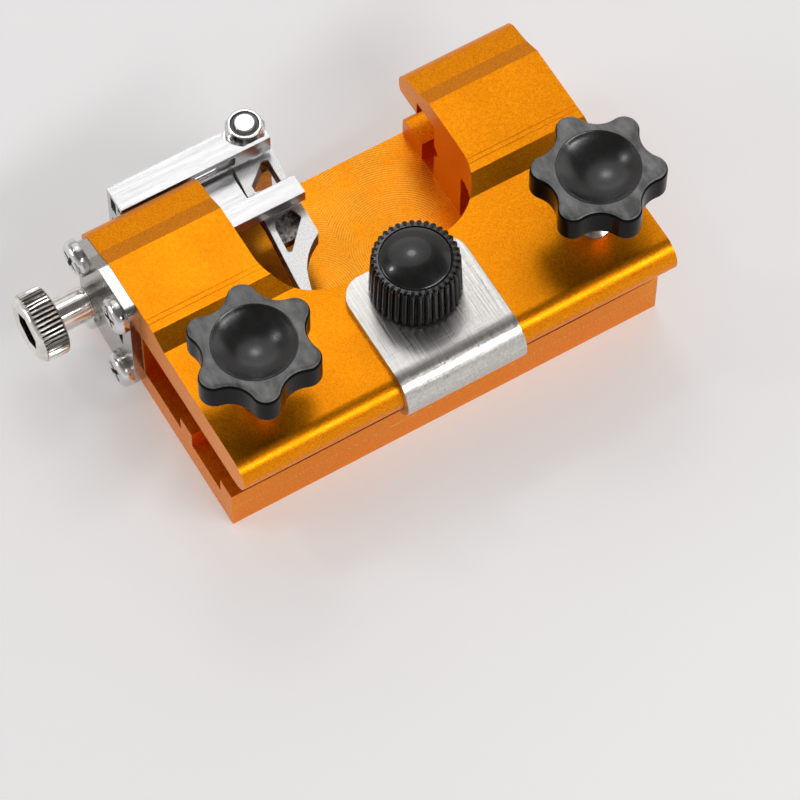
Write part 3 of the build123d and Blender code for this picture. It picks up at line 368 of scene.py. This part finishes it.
def speckled(name, colour):
    """Tumbled casting: bright on its upper face, dark and ragged below it."""
    finish = Finish(name, 1.0)
    specks = finish.noise((4.0, 4.0, 4.0), detail=3.0, roughness=0.65)
    lumps = finish.noise((1.1, 0.7, 1.1), detail=3.0, roughness=0.7)
    face = finish.mixed(finish.ranged(specks, 0.35, 0.55), shaded(colour, 0.72), shaded(colour))
    casting = finish.mixed(
        finish.ranged(lumps, 0.38, 0.66), shaded(PAWL_CASTING_DARK), shaded(PAWL_CASTING_PALE)
    )
    casting_start, face_end = ((PAWL_TOP - depth) * MM for depth in (PAWL_CASTING_START, PAWL_FACE_END))
    raised = finish.ranged(finish.axes()[2], casting_start, face_end)
    bumps = {0: raised, 4: finish.bump(lumps, 0.12), 5: finish.bump(specks, 0.02)}
    normal = finish.add("ShaderNodeMix", bumps, data_type="VECTOR").outputs[1]
    roughness = finish.ranged(raised, 0.0, 1.0, 0.5, 0.38)
    return finish.done(finish.mixed(raised, casting, face), roughness, normal)


def polished(name, colour, rough):
    """Plated or turned metal, with the faint smears that plating has."""
    finish = Finish(name, 1.0)
    smears = finish.noise((0.5, 0.5, 0.5), detail=3.0)
    tint = finish.mixed(finish.ranged(smears, 0.35, 0.65), shaded(colour, 0.85), shaded(colour))
    roughness = finish.ranged(smears, 0.3, 0.7, rough * 0.7, rough * 1.4)
    return finish.done(tint, roughness, finish.bump(smears, 0.01))


def knurled_nickel():
    """Polished nickel with painted shade in the head's knurl valleys and socket."""
    finish = Finish("polished_nickel", 1.0)
    smears = finish.noise((0.5, 0.5, 0.5), detail=3.0)
    bright = finish.mixed(finish.ranged(smears, 0.35, 0.65), (0.74, 0.71, 0.67, 1), (0.92, 0.89, 0.84, 1))
    axes = finish.axes()
    radius = finish.distance(axes[1], axes[2], LEAD_Y, LEAD_Z)
    crest = finish.ranged(radius, *((HEAD_RADIUS - depth) * MM for depth in KNURL_SHADE_DEPTHS))
    rim = finish.maths("LESS_THAN", axes[0], (HEAD_OUTER + SHADE_FREE_RIM) * MM)
    shank = finish.maths("GREATER_THAN", axes[0], (HEAD_OUTER + HEAD_THICKNESS - SHADE_FREE_NECK) * MM)
    shade_free = finish.maths("MAXIMUM", finish.maths("MAXIMUM", rim, shank), crest)
    # painted shade: the knurl's valleys and the socket turn dark; crests, rim and neck keep the bright
    # nickel
    tint = finish.mixed(shade_free, shaded(KNURL_PAINTED_SHADE), bright)
    return finish.done(tint, finish.ranged(smears, 0.3, 0.7, 0.10, 0.2), finish.bump(smears, 0.01))


def plastic(name, level, rough, grain_mm=0.0, coat=0.0, shine=0.5, cloud=2.0, ior=1.5):
    """Moulded black plastic; rubbed where it is handled."""
    finish = Finish(name, 0.0, Coat_Weight=coat, Coat_Roughness=0.05, Specular_IOR_Level=shine, IOR=ior)
    rubs = finish.noise((0.45, 0.25, 0.45), detail=4.0, roughness=0.6)
    grain = finish.noise((4.0, 4.0, 4.0))
    rubbed = level * 1.5
    tint = finish.mixed(finish.ranged(rubs, 0.35, 0.7), grey(rubbed / cloud), grey(rubbed))
    roughness = finish.ranged(rubs, 0.3, 0.7, rough * 0.8, rough * 1.25)
    return finish.done(tint, roughness, finish.bump(grain, grain_mm))


MATERIALS = {
    "anodised": anodised(),
    "clip": brushed(
        "brushed_clip", (0.84, 0.82, 0.79), 0.30,
        along="Y", cross=0.4, fine=2.4, shade=0.52, depth_mm=0.06,
    ),
    "alloy": brushed(
        "bright_extrusion", (0.72, 0.72, 0.73), 0.33,
        along="X", cross=0.0, fine=1.9, shade=0.72, depth_mm=0.03,
    ),
    "bracket": cast("plated_casting", (0.54, 0.53, 0.51), 0.22, lump_mm=1.6, depth_mm=0.05),
    "pawl": speckled("cast_pawl", (0.74, 0.74, 0.74)),
    "zinc": polished("bright_zinc", (0.80, 0.80, 0.80), 0.18),
    "nickel": knurled_nickel(),
    "turned": polished("turned_steel", (0.56, 0.55, 0.53), 0.28),
    "spring": polished("spring_steel", (0.42, 0.42, 0.43), 0.30),
    "gloss": plastic("gloss_black", 0.003, 0.18, shine=0.06),
    "satin": plastic("satin_black", 0.17, 0.36, grain_mm=0.006, cloud=3.6),
    "bowl": plastic("polished_bowl", 0.003, 0.25, shine=0.7, ior=1.6),
    "moulded": plastic("moulded_black", 0.004, 0.12, grain_mm=0.004, shine=0.4),
    "cap": plastic("polished_cap", 0.003, 0.25, coat=0.4, shine=0.6),
    "nylon": plastic("nylon", 0.20, 0.45, grain_mm=0.004),
}


# ------------------------------------------------------------------- meshes
def add_piece(name, mesh_work, body, slot, node, *materials, sharp=38.0):
    """Turn a bmesh into a piece that rides on a body and stands for a CAD node."""
    bmesh.ops.recalc_face_normals(mesh_work, faces=mesh_work.faces)
    for face in mesh_work.faces:
        face.smooth = True
    for edge in mesh_work.edges:
        if edge.calc_face_angle(0.0) > math.radians(sharp):
            edge.smooth = False
    mesh = bpy.data.meshes.new(name)
    mesh_work.to_mesh(mesh)
    mesh_work.free()
    for material in materials:
        mesh.materials.append(MATERIALS[material])
    piece = bpy.data.objects.new(name, mesh)
    bpy.context.scene.collection.objects.link(piece)
    weighted = piece.modifiers.new("weighted", "WEIGHTED_NORMAL")
    weighted.keep_sharp = True
    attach(piece, body)
    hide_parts(node)


def lead_folds_on(work, steps):
    """Lead each crisp fold on across the broken edges at its ends."""
    for _ in range(steps):
        ends = [corner for corner in work.verts if sum(not edge.smooth for edge in corner.link_edges) == 1]
        for corner in ends:
            fold = next(edge for edge in corner.link_edges if not edge.smooth)
            for edge in corner.link_edges:
                if not set(edge.link_faces) & set(fold.link_faces):
                    edge.smooth = False


def broken_edges(node, width_mm):
    """A CAD node's mesh: flat faces joined up, low folds kept crisp, sharp edges broken."""
    work = bmesh.new()
    work.from_mesh(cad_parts[node].data)
    bmesh.ops.remove_doubles(work, verts=work.verts, dist=WELD * MM)
    bmesh.ops.dissolve_limit(work, angle_limit=math.radians(FLAT_ANGLE), verts=work.verts, edges=work.edges)
    for edge in work.edges:
        edge.smooth = not math.radians(FOLD_ANGLE) < edge.calc_face_angle(0.0) <= math.radians(EDGE_ANGLE)
    if width_mm:
        sharp = [
            edge for edge in work.edges
            if len(edge.link_faces) == 2 and edge.calc_face_angle() > math.radians(EDGE_ANGLE)
        ]
        bmesh.ops.bevel(
            work,
            geom=sharp,
            offset=width_mm * MM,
            segments=EDGE_SEGMENTS,
            profile=0.5,
            affect="EDGES",
            clamp_overlap=True,
        )
        lead_folds_on(work, EDGE_SEGMENTS)
    return work


def skin(work, loops, first_centre=None, last_centre=None, material=0):
    """Quads between loops of equally many points; a centre closes an end with a fan."""
    rows = [[work.verts.new(point) for point in loop] for loop in loops]
    count = len(rows[0])
    for row, following in zip(rows, rows[1:]):
        for i in range(count):
            j = (i + 1) % count
            face = work.faces.new((row[i], row[j], following[j], following[i]))
            face.material_index = material
    for row, centre in ((rows[0], first_centre), (rows[-1], last_centre)):
        if centre is not None:
            middle = work.verts.new(centre)
            for i in range(count):
                work.faces.new((row[i], row[(i + 1) % count], middle)).material_index = material


def on_axis(level):
    return Vector((0, 0, level)) * MM


def ring(radius, level, count):
    """Points round the Z axis; the radius is a number or a function of the angle."""
    points = []
    for i in range(count):
        angle = 2 * math.pi * i / count
        reach = radius(angle) if callable(radius) else radius
        points.append(Vector((reach * math.cos(angle), reach * math.sin(angle), level)) * MM)
    return points


def placed(work, x, y, z=0.0, turn=None):
    """Move a bmesh made round the Z axis to its place."""
    matrix = Matrix.Translation(Vector((x, y, z)) * MM)
    if turn is not None:
        matrix = matrix @ turn
    bmesh.ops.transform(work, matrix=matrix, verts=work.verts)


def sphere_radius(rim, rise):
    """Radius of the sphere whose cap has this rim radius and this rise."""
    return (rim**2 + rise**2) / (2 * rise)


def rounded(radius, level, edge, steps, start, end):
    """(radius, level) pairs round a corner whose arc has its centre at the pair given."""
    pairs = []
    for i in range(steps + 1):
        angle = math.radians(start + (end - start) * i / steps)
        pairs.append((radius + edge * math.cos(angle), level + edge * math.sin(angle)))
    return pairs


def thread(work, radius, depth, pitch, low, high):
    """Right-hand screw thread round the Z axis, cut off square at both ends.

    It goes into an empty bmesh, because the cuts take all that the bmesh holds.
    """
    steps = THREAD_STEPS
    turns = math.ceil((high - low) / pitch) + 3
    rows = []
    for step in range(turns * steps + 1):
        angle = 2 * math.pi * step / steps
        rise = low - 1.5 * pitch + pitch * step / steps
        row = []
        for share, cut in THREAD_PROFILE:
            reach = radius - depth * cut
            point = Vector((reach * math.cos(angle), reach * math.sin(angle), rise + share * pitch))
            row.append(work.verts.new(point * MM))
        rows.append(row)
    for step in range(turns * steps):
        here, ahead = rows[step], rows[step + 1]
        for i in range(len(THREAD_PROFILE) - 1):
            work.faces.new((here[i], ahead[i], ahead[i + 1], here[i + 1]))
        if step + 1 + steps < len(rows):
            work.faces.new((here[-1], ahead[-1], rows[step + 1 + steps][0], rows[step + steps][0]))
    for level, side in ((low, -1), (high, 1)):
        cut = bmesh.ops.bisect_plane(
            work,
            geom=work.verts[:] + work.edges[:] + work.faces[:],
            plane_co=(0, 0, level * MM),
            plane_no=(0, 0, side),
            clear_outer=True,
        )
        rim = [item for item in cut["geom_cut"] if isinstance(item, bmesh.types.BMEdge)]
        bmesh.ops.triangle_fill(work, edges=rim, use_beauty=True)


def stud(name, body, node, place, threaded, point, count):
    """Threaded stud of a knob, down to the plain point that turns in its foot or pad."""
    radius, depth, pitch = threaded
    point_radius, length, edge = point
    low, high = (corner.z for corner in box_mm(node))
    root = low + length + POINT_ROOT
    work = bmesh.new()
    thread(work, radius, depth, pitch, low + length, high)
    loops = [
        ring(point_radius, root, count),
        ring(point_radius, low + edge, count),
        ring(point_radius - edge, low, count),
    ]
    skin(work, loops, on_axis(root), on_axis(low))
    placed(work, *place)
    add_piece(name, work, body, "screw_steel", node, "zinc")


# --------------------------------------------------------------- star knobs
def star_loop(inset, level, turn):
    """The star's outline, moved inwards: lobe arcs joined by hollow valley arcs."""
    half = math.pi / STAR_LOBES
    reach = STAR_LOBE_CENTRE * math.cos(half)
    over = STAR_LOBE_CENTRE**2 + STAR_VALLEY_FLOOR**2 - 2 * reach * STAR_VALLEY_FLOOR - STAR_LOBE_RADIUS**2
    valley = over / (2 * (STAR_LOBE_RADIUS - STAR_VALLEY_FLOOR + reach))
    far = STAR_VALLEY_FLOOR + valley
    swing = math.atan2(far * math.sin(half), far * math.cos(half) - STAR_LOBE_CENTRE)
    points = []
    for lobe in range(STAR_LOBES):
        middle = math.radians(turn) + 2 * half * lobe
        for i in range(STAR_LOBE_STEPS):
            angle = middle - swing + 2 * swing * i / STAR_LOBE_STEPS
            radius = STAR_LOBE_RADIUS - inset
            x = STAR_LOBE_CENTRE * math.cos(middle) + radius * math.cos(angle)
            y = STAR_LOBE_CENTRE * math.sin(middle) + radius * math.sin(angle)
            points.append(Vector((x, y, level)) * MM)
        for i in range(STAR_VALLEY_STEPS):
            spread = swing - half
            angle = middle + half + math.pi + spread - 2 * spread * i / STAR_VALLEY_STEPS
            radius = valley + inset
            x = far * math.cos(middle + half) + radius * math.cos(angle)
            y = far * math.sin(middle + half) + radius * math.sin(angle)
            points.append(Vector((x, y, level)) * MM)
    return points


def circle_like(loop, radius, level):
    """A circle whose points stand at the same angles as those of a loop."""
    points = []
    for point in loop:
        angle = math.atan2(point.y, point.x)
        points.append(Vector((radius * math.cos(angle), radius * math.sin(angle), level)) * MM)
    return points


def star_knob(side, turn):
    """Moulded knob: rounded rims, a flat satin crown, a polished bowl and a hub."""
    node = f"{side}_clamp_knob"
    foot_level, top = (corner.z for corner in box_mm(node))
    low = top - STAR_HEIGHT
    bowl_level = top - STAR_BOWL_DEPTH
    rim = rounded(-STAR_EDGE, top - STAR_EDGE, STAR_EDGE, 6, 0, 90)
    foot = rounded(-STAR_EDGE, low + STAR_EDGE, STAR_EDGE, 6, -90, 0)
    sides = [star_loop(-reach, level, turn) for reach, level in foot + rim]
    crown = star_loop(STAR_EDGE, top, turn)
    under = star_loop(STAR_EDGE, low, turn)
    hub = [
        circle_like(under, radius, level)
        for radius, level in (
            (STAR_HUB_RADIUS + STAR_HUB_FILLET, low),
            (STAR_HUB_RADIUS, low - STAR_HUB_FILLET),
            (STAR_HUB_RADIUS, foot_level + STAR_HUB_CHAMFER),
            (STAR_HUB_RADIUS - STAR_HUB_CHAMFER, foot_level),
            (CLAMP_RADIUS + CLAMP_HOLE_GAP, foot_level),
        )
    ]
    sphere = sphere_radius(STAR_BOWL_RADIUS, STAR_BOWL_DEPTH)
    bowl = []
    for share in STAR_BOWL_SHARES:
        radius = STAR_BOWL_RADIUS * share
        level = bowl_level + sphere - math.sqrt(sphere**2 - radius**2)
        bowl.append(circle_like(crown, radius, level))
    lip = [
        circle_like(crown, radius, level)
        for radius, level in rounded(STAR_BOWL_RADIUS + STAR_LIP, top - STAR_LIP, STAR_LIP, 4, 90, 150)
    ]
    work = bmesh.new()
    skin(work, list(reversed(hub)) + [under] + sides[1:-3], first_centre=on_axis(foot_level))
    skin(work, sides[-4:-1] + [crown, lip[0]], material=1)
    skin(work, lip + bowl, last_centre=on_axis(bowl_level), material=2)
    bmesh.ops.remove_doubles(work, verts=work.verts, dist=WELD * MM)
    placed(work, *middle_mm(node).xy)
    add_piece(f"{side}_star", work, f"{side}_knob", "knob_plastic", node, *STAR_FINISHES)


def clamp_stud(side):
    stud(
        f"{side}_stud",
        f"{side}_knob",
        f"{side}_clamp_screw",
        middle_mm(f"{side}_clamp_knob").xy,
        (CLAMP_RADIUS, CLAMP_THREAD_DEPTH, CLAMP_PITCH),
        (CLAMP_POINT_RADIUS, CLAMP_POINT_LENGTH, CLAMP_POINT_EDGE),
        THREAD_STEPS,
    )


for side_name, star_turn in STAR_ANGLES.items():
    star_knob(side_name, star_turn)
    clamp_stud(side_name)


# -------------------------------------------------------------- centre knob
def centre_knob():
    """Tapered knob with bead-like ridges that run out in a crown of small teeth."""
    low, high = (corner.z for corner in box_mm("centre_knob"))
    count = KNURL_RIDGES * KNURL_STEPS

    def ridged(base, height):
        def radius(angle):
            share = abs((angle * KNURL_RIDGES / (2 * math.pi)) % 1.0 - 0.5)
            return base + height * math.sqrt(max(0.0, 1.0 - (share / KNURL_RIDGE_HALF) ** 2))
        return radius

    loops = [ring(KNURL_BASE_RADIUS - KNURL_FOOT_EDGE, low, count)]
    for rise, swell in KNURL_SWELLS:
        base = KNURL_BASE_RADIUS + (KNURL_TOP_RADIUS - KNURL_BASE_RADIUS) * rise / (high - low)
        loops.append(ring(ridged(base, KNURL_RIDGE_HEIGHT * swell), low + rise, count))
    loops.append(ring(CAP_RADIUS + CAP_SEAT_EDGE, high, count))
    loops.append(ring(CAP_RADIUS + CAP_SEAT_GAP, high - CAP_SEAT_DEPTH, count))
    work = bmesh.new()
    skin(work, loops, on_axis(low), on_axis(high - CAP_SEAT_DEPTH))
    placed(work, *CENTRE_PLACE)
    add_piece("centre_grip", work, "centre_knob", "knurl_plastic", "centre_knob", "moulded", sharp=50.0)


def centre_cap():
    """Polished dome with a rolled edge, seated in the centre knob."""
    low, high = (corner.z for corner in box_mm("centre_knob_cap"))
    sphere = sphere_radius(CAP_RADIUS, CAP_RISE)
    loops = [ring(CAP_RADIUS, low, CAP_STEPS), ring(CAP_RADIUS, high - CAP_RISE - CAP_WALL, CAP_STEPS)]
    for share in CAP_SHARES:
        radius = CAP_RADIUS * share
        loops.append(ring(radius, high - sphere + math.sqrt(sphere**2 - radius**2), CAP_STEPS))
    work = bmesh.new()
    skin(work, loops, on_axis(low), on_axis(high))
    placed(work, *CENTRE_PLACE)
    add_piece("centre_dome", work, "centre_knob", "cap_plastic", "centre_knob_cap", "cap", sharp=60.0)


def centre_stud():
    stud(
        "centre_stud",
        "centre_knob",
        "centre_screw",
        CENTRE_PLACE,
        (CENTRE_RADIUS, CENTRE_THREAD_DEPTH, CENTRE_PITCH),
        (CENTRE_POINT_RADIUS, CENTRE_POINT_LENGTH, CENTRE_POINT_EDGE),
        CENTRE_POINT_STEPS,
    )


centre_knob()
centre_cap()
centre_stud()


# ---------------------------------------------------------- adjusting screw
def hexagon(half_flats):
    """Radius of a hexagon's outline as a function of the angle."""
    def radius(angle):
        return half_flats / math.cos(angle % (math.pi / 3) - math.pi / 6)
    return radius


def adjusting_screw():
    """Knurled socket head, polished shank, ring groove and thread, along X."""
    count = HEAD_KNURLS * HEAD_KNURL_STEPS
    length = SHANK_END - HEAD_OUTER

    def knurled(radius, depth):
        def reach(angle):
            share = (angle * HEAD_KNURLS / (2 * math.pi)) % 1.0
            return radius - depth * abs(2 * share - 1) ** HEAD_KNURL_POWER
        return reach

    socket = hexagon(SOCKET_HALF_FLATS)
    profile = (
        # socket, face and rolled rim: (radius, depth from the head's outer end)
        (socket, SOCKET_DEPTH),
        (socket, SOCKET_CHAMFER),
        (hexagon(SOCKET_HALF_FLATS + SOCKET_CHAMFER), 0.02),
        (HEAD_RADIUS - 1.35, 0.0),
        (HEAD_RADIUS - 1.0, 0.08),
        (HEAD_RADIUS - 0.35, 0.62),
        (HEAD_RADIUS - 0.3, 0.85),
        # knurl, running out at both ends
        (knurled(HEAD_RADIUS - 0.15, 0.15), 0.95),
        (knurled(HEAD_RADIUS, HEAD_KNURL_DEPTH), 1.25),
        (knurled(HEAD_RADIUS, HEAD_KNURL_DEPTH), 3.0),
        (knurled(HEAD_RADIUS, HEAD_KNURL_DEPTH), HEAD_THICKNESS - 0.65),
        (knurled(HEAD_RADIUS - 0.3, 0.15), HEAD_THICKNESS - 0.3),
        # neck and shank, with a turned line before its end
        (HEAD_RADIUS - 0.75, HEAD_THICKNESS),
        (SHANK_RADIUS + 0.35, HEAD_THICKNESS),
        (SHANK_RADIUS, HEAD_THICKNESS + 0.35),
        (SHANK_RADIUS, length - 0.75),
        (SHANK_RADIUS - 0.2, length - 0.65),
        (SHANK_RADIUS - 0.2, length - 0.5),
        (SHANK_RADIUS, length - 0.4),
        (SHANK_RADIUS, length - 0.2),
        (SHANK_RADIUS - 0.2, length),
        # groove of the retaining ring
        (LEAD_RADIUS, length),
        (LEAD_RADIUS, RING_START - HEAD_OUTER),
        (RING_GROOVE_RADIUS, RING_START - HEAD_OUTER),
        (RING_GROOVE_RADIUS, RING_END - HEAD_OUTER),
    )
    loops = [ring(radius, HEAD_OUTER + depth, count) for radius, depth in profile]
    work = bmesh.new()
    thread(work, LEAD_RADIUS, LEAD_THREAD_DEPTH, LEAD_PITCH, RING_END, LEAD_END)
    skin(work, loops, on_axis(HEAD_OUTER + SOCKET_DEPTH + SOCKET_DIMPLE), on_axis(RING_END))
    placed(work, 0, LEAD_Y, LEAD_Z, Matrix.Rotation(math.radians(90), 4, "Y"))
    add_piece("adjusting_screw", work, "adjuster", "adjuster_nickel", "adjust_screw", "nickel", sharp=42.0)


adjusting_screw()


# ---------------------------------------------------------------- pivot nut
def locking_nut():
    """Chamfered hexagon under a rolled collar that holds the nylon ring."""
    flats = hexagon(NUT_HALF_FLATS)
    corner = NUT_HALF_FLATS / math.cos(math.pi / 6)
    mouth_floor = NUT_TOP - NUT_MOUTH_DEPTH
    rising, falling = NUT_CHAMFER_SHARES, NUT_CHAMFER_SHARES[::-1]

    def capped(limit):
        return lambda angle: min(flats(angle), limit)

    profile = [(NUT_BORE_RADIUS, NUT_LOW), (capped(NUT_HALF_FLATS - 0.1), NUT_LOW)]
    for level, inwards, shares in ((NUT_LOW, 1, rising), (NUT_HEX_TOP, -1, falling)):
        for share in shares:
            limit = NUT_HALF_FLATS + (corner - NUT_HALF_FLATS) * share
            profile.append((capped(limit), level + inwards * NUT_CHAMFER * share))
    profile += [(NUT_COLLAR_RADIUS + 0.25, NUT_HEX_TOP), (NUT_COLLAR_RADIUS, NUT_HEX_TOP + 0.3)]
    edge = NUT_COLLAR_EDGE
    profile += rounded(NUT_COLLAR_RADIUS - edge, NUT_TOP - edge, edge, 4, 0, 90)
    profile += [(NUT_MOUTH_RADIUS + 0.1, NUT_TOP - 0.02), (NUT_MOUTH_RADIUS, NUT_TOP - 0.2)]
    profile += [(NUT_MOUTH_RADIUS, mouth_floor), (NUT_BORE_RADIUS, mouth_floor), (NUT_BORE_RADIUS, NUT_LOW)]
    loops = [ring(radius, level, NUT_STEPS) for radius, level in profile]
    work = bmesh.new()
    skin(work, loops)
    bmesh.ops.remove_doubles(work, verts=work.verts, dist=WELD * MM)
    placed(work, *NUT_PLACE)
    add_piece("locking_nut", work, "carriage", "nut_zinc", "pawl_nut", "zinc", sharp=30.0)


locking_nut()

# ------------------------------------------------- CAD solids, edges broken
# node: (body, record's slot, material, width of the broken edge)
DRESSED = {
    "body": ("body", "anodised", "anodised", 0.22),
    "chain_clip": ("body", "clip_steel", "clip", 0.18),
    "end_bracket": ("body", "bracket_cast", "bracket", 0.3),
    "bracket_screws": ("body", "screw_steel", "zinc", 0.1),
    "adjust_screw_bush": ("body", "bush_steel", "turned", 0.12),
    "adjust_screw_ring": ("adjuster", "spring_steel", "spring", 0.06),
    "left_clamp_foot": ("left_foot", "foot_steel", "turned", 0.1),
    "right_clamp_foot": ("right_foot", "foot_steel", "turned", 0.1),
    "centre_pad": ("centre_pad", "foot_steel", "turned", 0.1),
    "carriage": ("carriage", "carriage_alloy", "alloy", 0.18),
    "groove_rod": ("carriage", "carriage_alloy", "alloy", 0.0),
    "pawl": ("pawl", "pawl_cast", "pawl", 0.22),
    "pawl_bolt": ("carriage", "screw_steel", "zinc", 0.42),
    "pawl_bush": ("carriage", "bush_steel", "turned", 0.06),
    "pawl_washer": ("carriage", "screw_steel", "zinc", 0.08),
    "pawl_nut_insert": ("carriage", "nylon", "nylon", 0.12),
    "pawl_spring": ("carriage", "spring_steel", "spring", 0.0),
}
for cad_node, (rides_on, record_slot, material_name, edge_width) in DRESSED.items():
    dressed = broken_edges(cad_node, edge_width)
    add_piece(f"{cad_node}_dressed", dressed, rides_on, record_slot, cad_node, material_name)


# -------------------------------------------------- floor, light and camera
def add_floor():
    """Pale floor; what it adds for the eye leaves the object's shadow in it."""
    work = bmesh.new()
    bmesh.ops.create_grid(work, x_segments=1, y_segments=1, size=FLOOR_REACH * MM)
    mesh = bpy.data.meshes.new("floor")
    work.to_mesh(mesh)
    work.free()
    floor = bpy.data.objects.new("floor", mesh)
    bpy.context.scene.collection.objects.link(floor)
    floor.location.z = -FLOOR_GAP * MM
    finish = Finish("floor_pale", 0.0, Roughness=0.9, Specular_IOR_Level=0.1, Emission_Color=grey(1.0))
    haze = finish.noise((0.004, 0.004, 0.004), detail=1.0)
    finish.use("Base Color", finish.mixed(haze, shaded(FLOOR_DARK), shaded(FLOOR_PALE)))
    finish.use("Emission Strength", finish.maths("MULTIPLY", finish.seen(), FLOOR_LIFT))
    mesh.materials.append(finish.material)


def add_softbox(name, direction, distance_mm, size_mm, radiance, shape):
    """Softbox that faces the middle of the object."""
    light = bpy.data.lights.new(name, "AREA")
    light.shape = shape
    light.size, light.size_y = (side * MM for side in size_mm)
    share = 1.0 if shape == "RECTANGLE" else math.pi / 4
    light.energy = radiance * math.pi * light.size * light.size_y * share
    lamp = bpy.data.objects.new(name, light)
    bpy.context.scene.collection.objects.link(lamp)
    aim = Vector(direction).normalized()
    lamp.location = (Vector((0, 0, AIM_HEIGHT)) + aim * distance_mm) * MM
    lamp.rotation_mode = "QUATERNION"
    lamp.rotation_quaternion = aim.to_track_quat("Z", "Y")


def add_world():
    """Pale room with a darker ceiling, so that facets tell apart, and a bright backdrop at its foot."""
    world = bpy.data.worlds.new("studio")
    bpy.context.scene.world = world
    world.use_nodes = True
    tree = Nodes(world.node_tree, "Generated")
    height = tree.axes()[2]
    room = tree.ranged(height, *CEILING_HEIGHTS, ROOM_STRENGTH, CEILING_STRENGTH)
    backdrop = tree.maths("MAXIMUM", room, tree.ranged(height, *BACKDROP_HEIGHTS, BACKDROP_STRENGTH, 0.0))
    strength = tree.add("ShaderNodeMix", {0: tree.seen(), 2: room, 3: backdrop}).outputs[0]
    background = tree.nodes["Background"]
    tree.links.new(strength, background.inputs["Strength"])
    tree.links.new(tree.mixed(strength, shaded(ROOM_WARM), shaded(ROOM_WHITE)), background.inputs["Color"])


def add_camera():
    azimuth = math.radians(CAMERA_AZIMUTH)
    elevation = math.radians(CAMERA_ELEVATION)
    flat = math.cos(elevation)
    back = Vector((math.sin(azimuth) * flat, -math.cos(azimuth) * flat, math.sin(elevation)))
    right = Vector((math.cos(azimuth), math.sin(azimuth), 0.0))
    turn = Matrix((right, back.cross(right), back)).transposed()
    turn = turn @ Matrix.Rotation(math.radians(CAMERA_ROLL), 3, "Z")
    camera_data = bpy.data.cameras.new("camera")
    camera_data.lens = CAMERA_LENS
    camera_data.sensor_width = CAMERA_SENSOR
    camera_data.clip_end = CAMERA_REACH
    camera = bpy.data.objects.new("camera", camera_data)
    bpy.context.scene.collection.objects.link(camera)
    camera.matrix_world = Matrix.Translation(Vector(CAMERA_PLACE) * MM) @ turn.to_4x4()
    bpy.context.scene.camera = camera


add_floor()
add_world()
for softbox, settings in SOFTBOXES.items():
    add_softbox(softbox, *settings)
add_camera()
bpy.context.scene.view_settings.view_transform = "Standard"
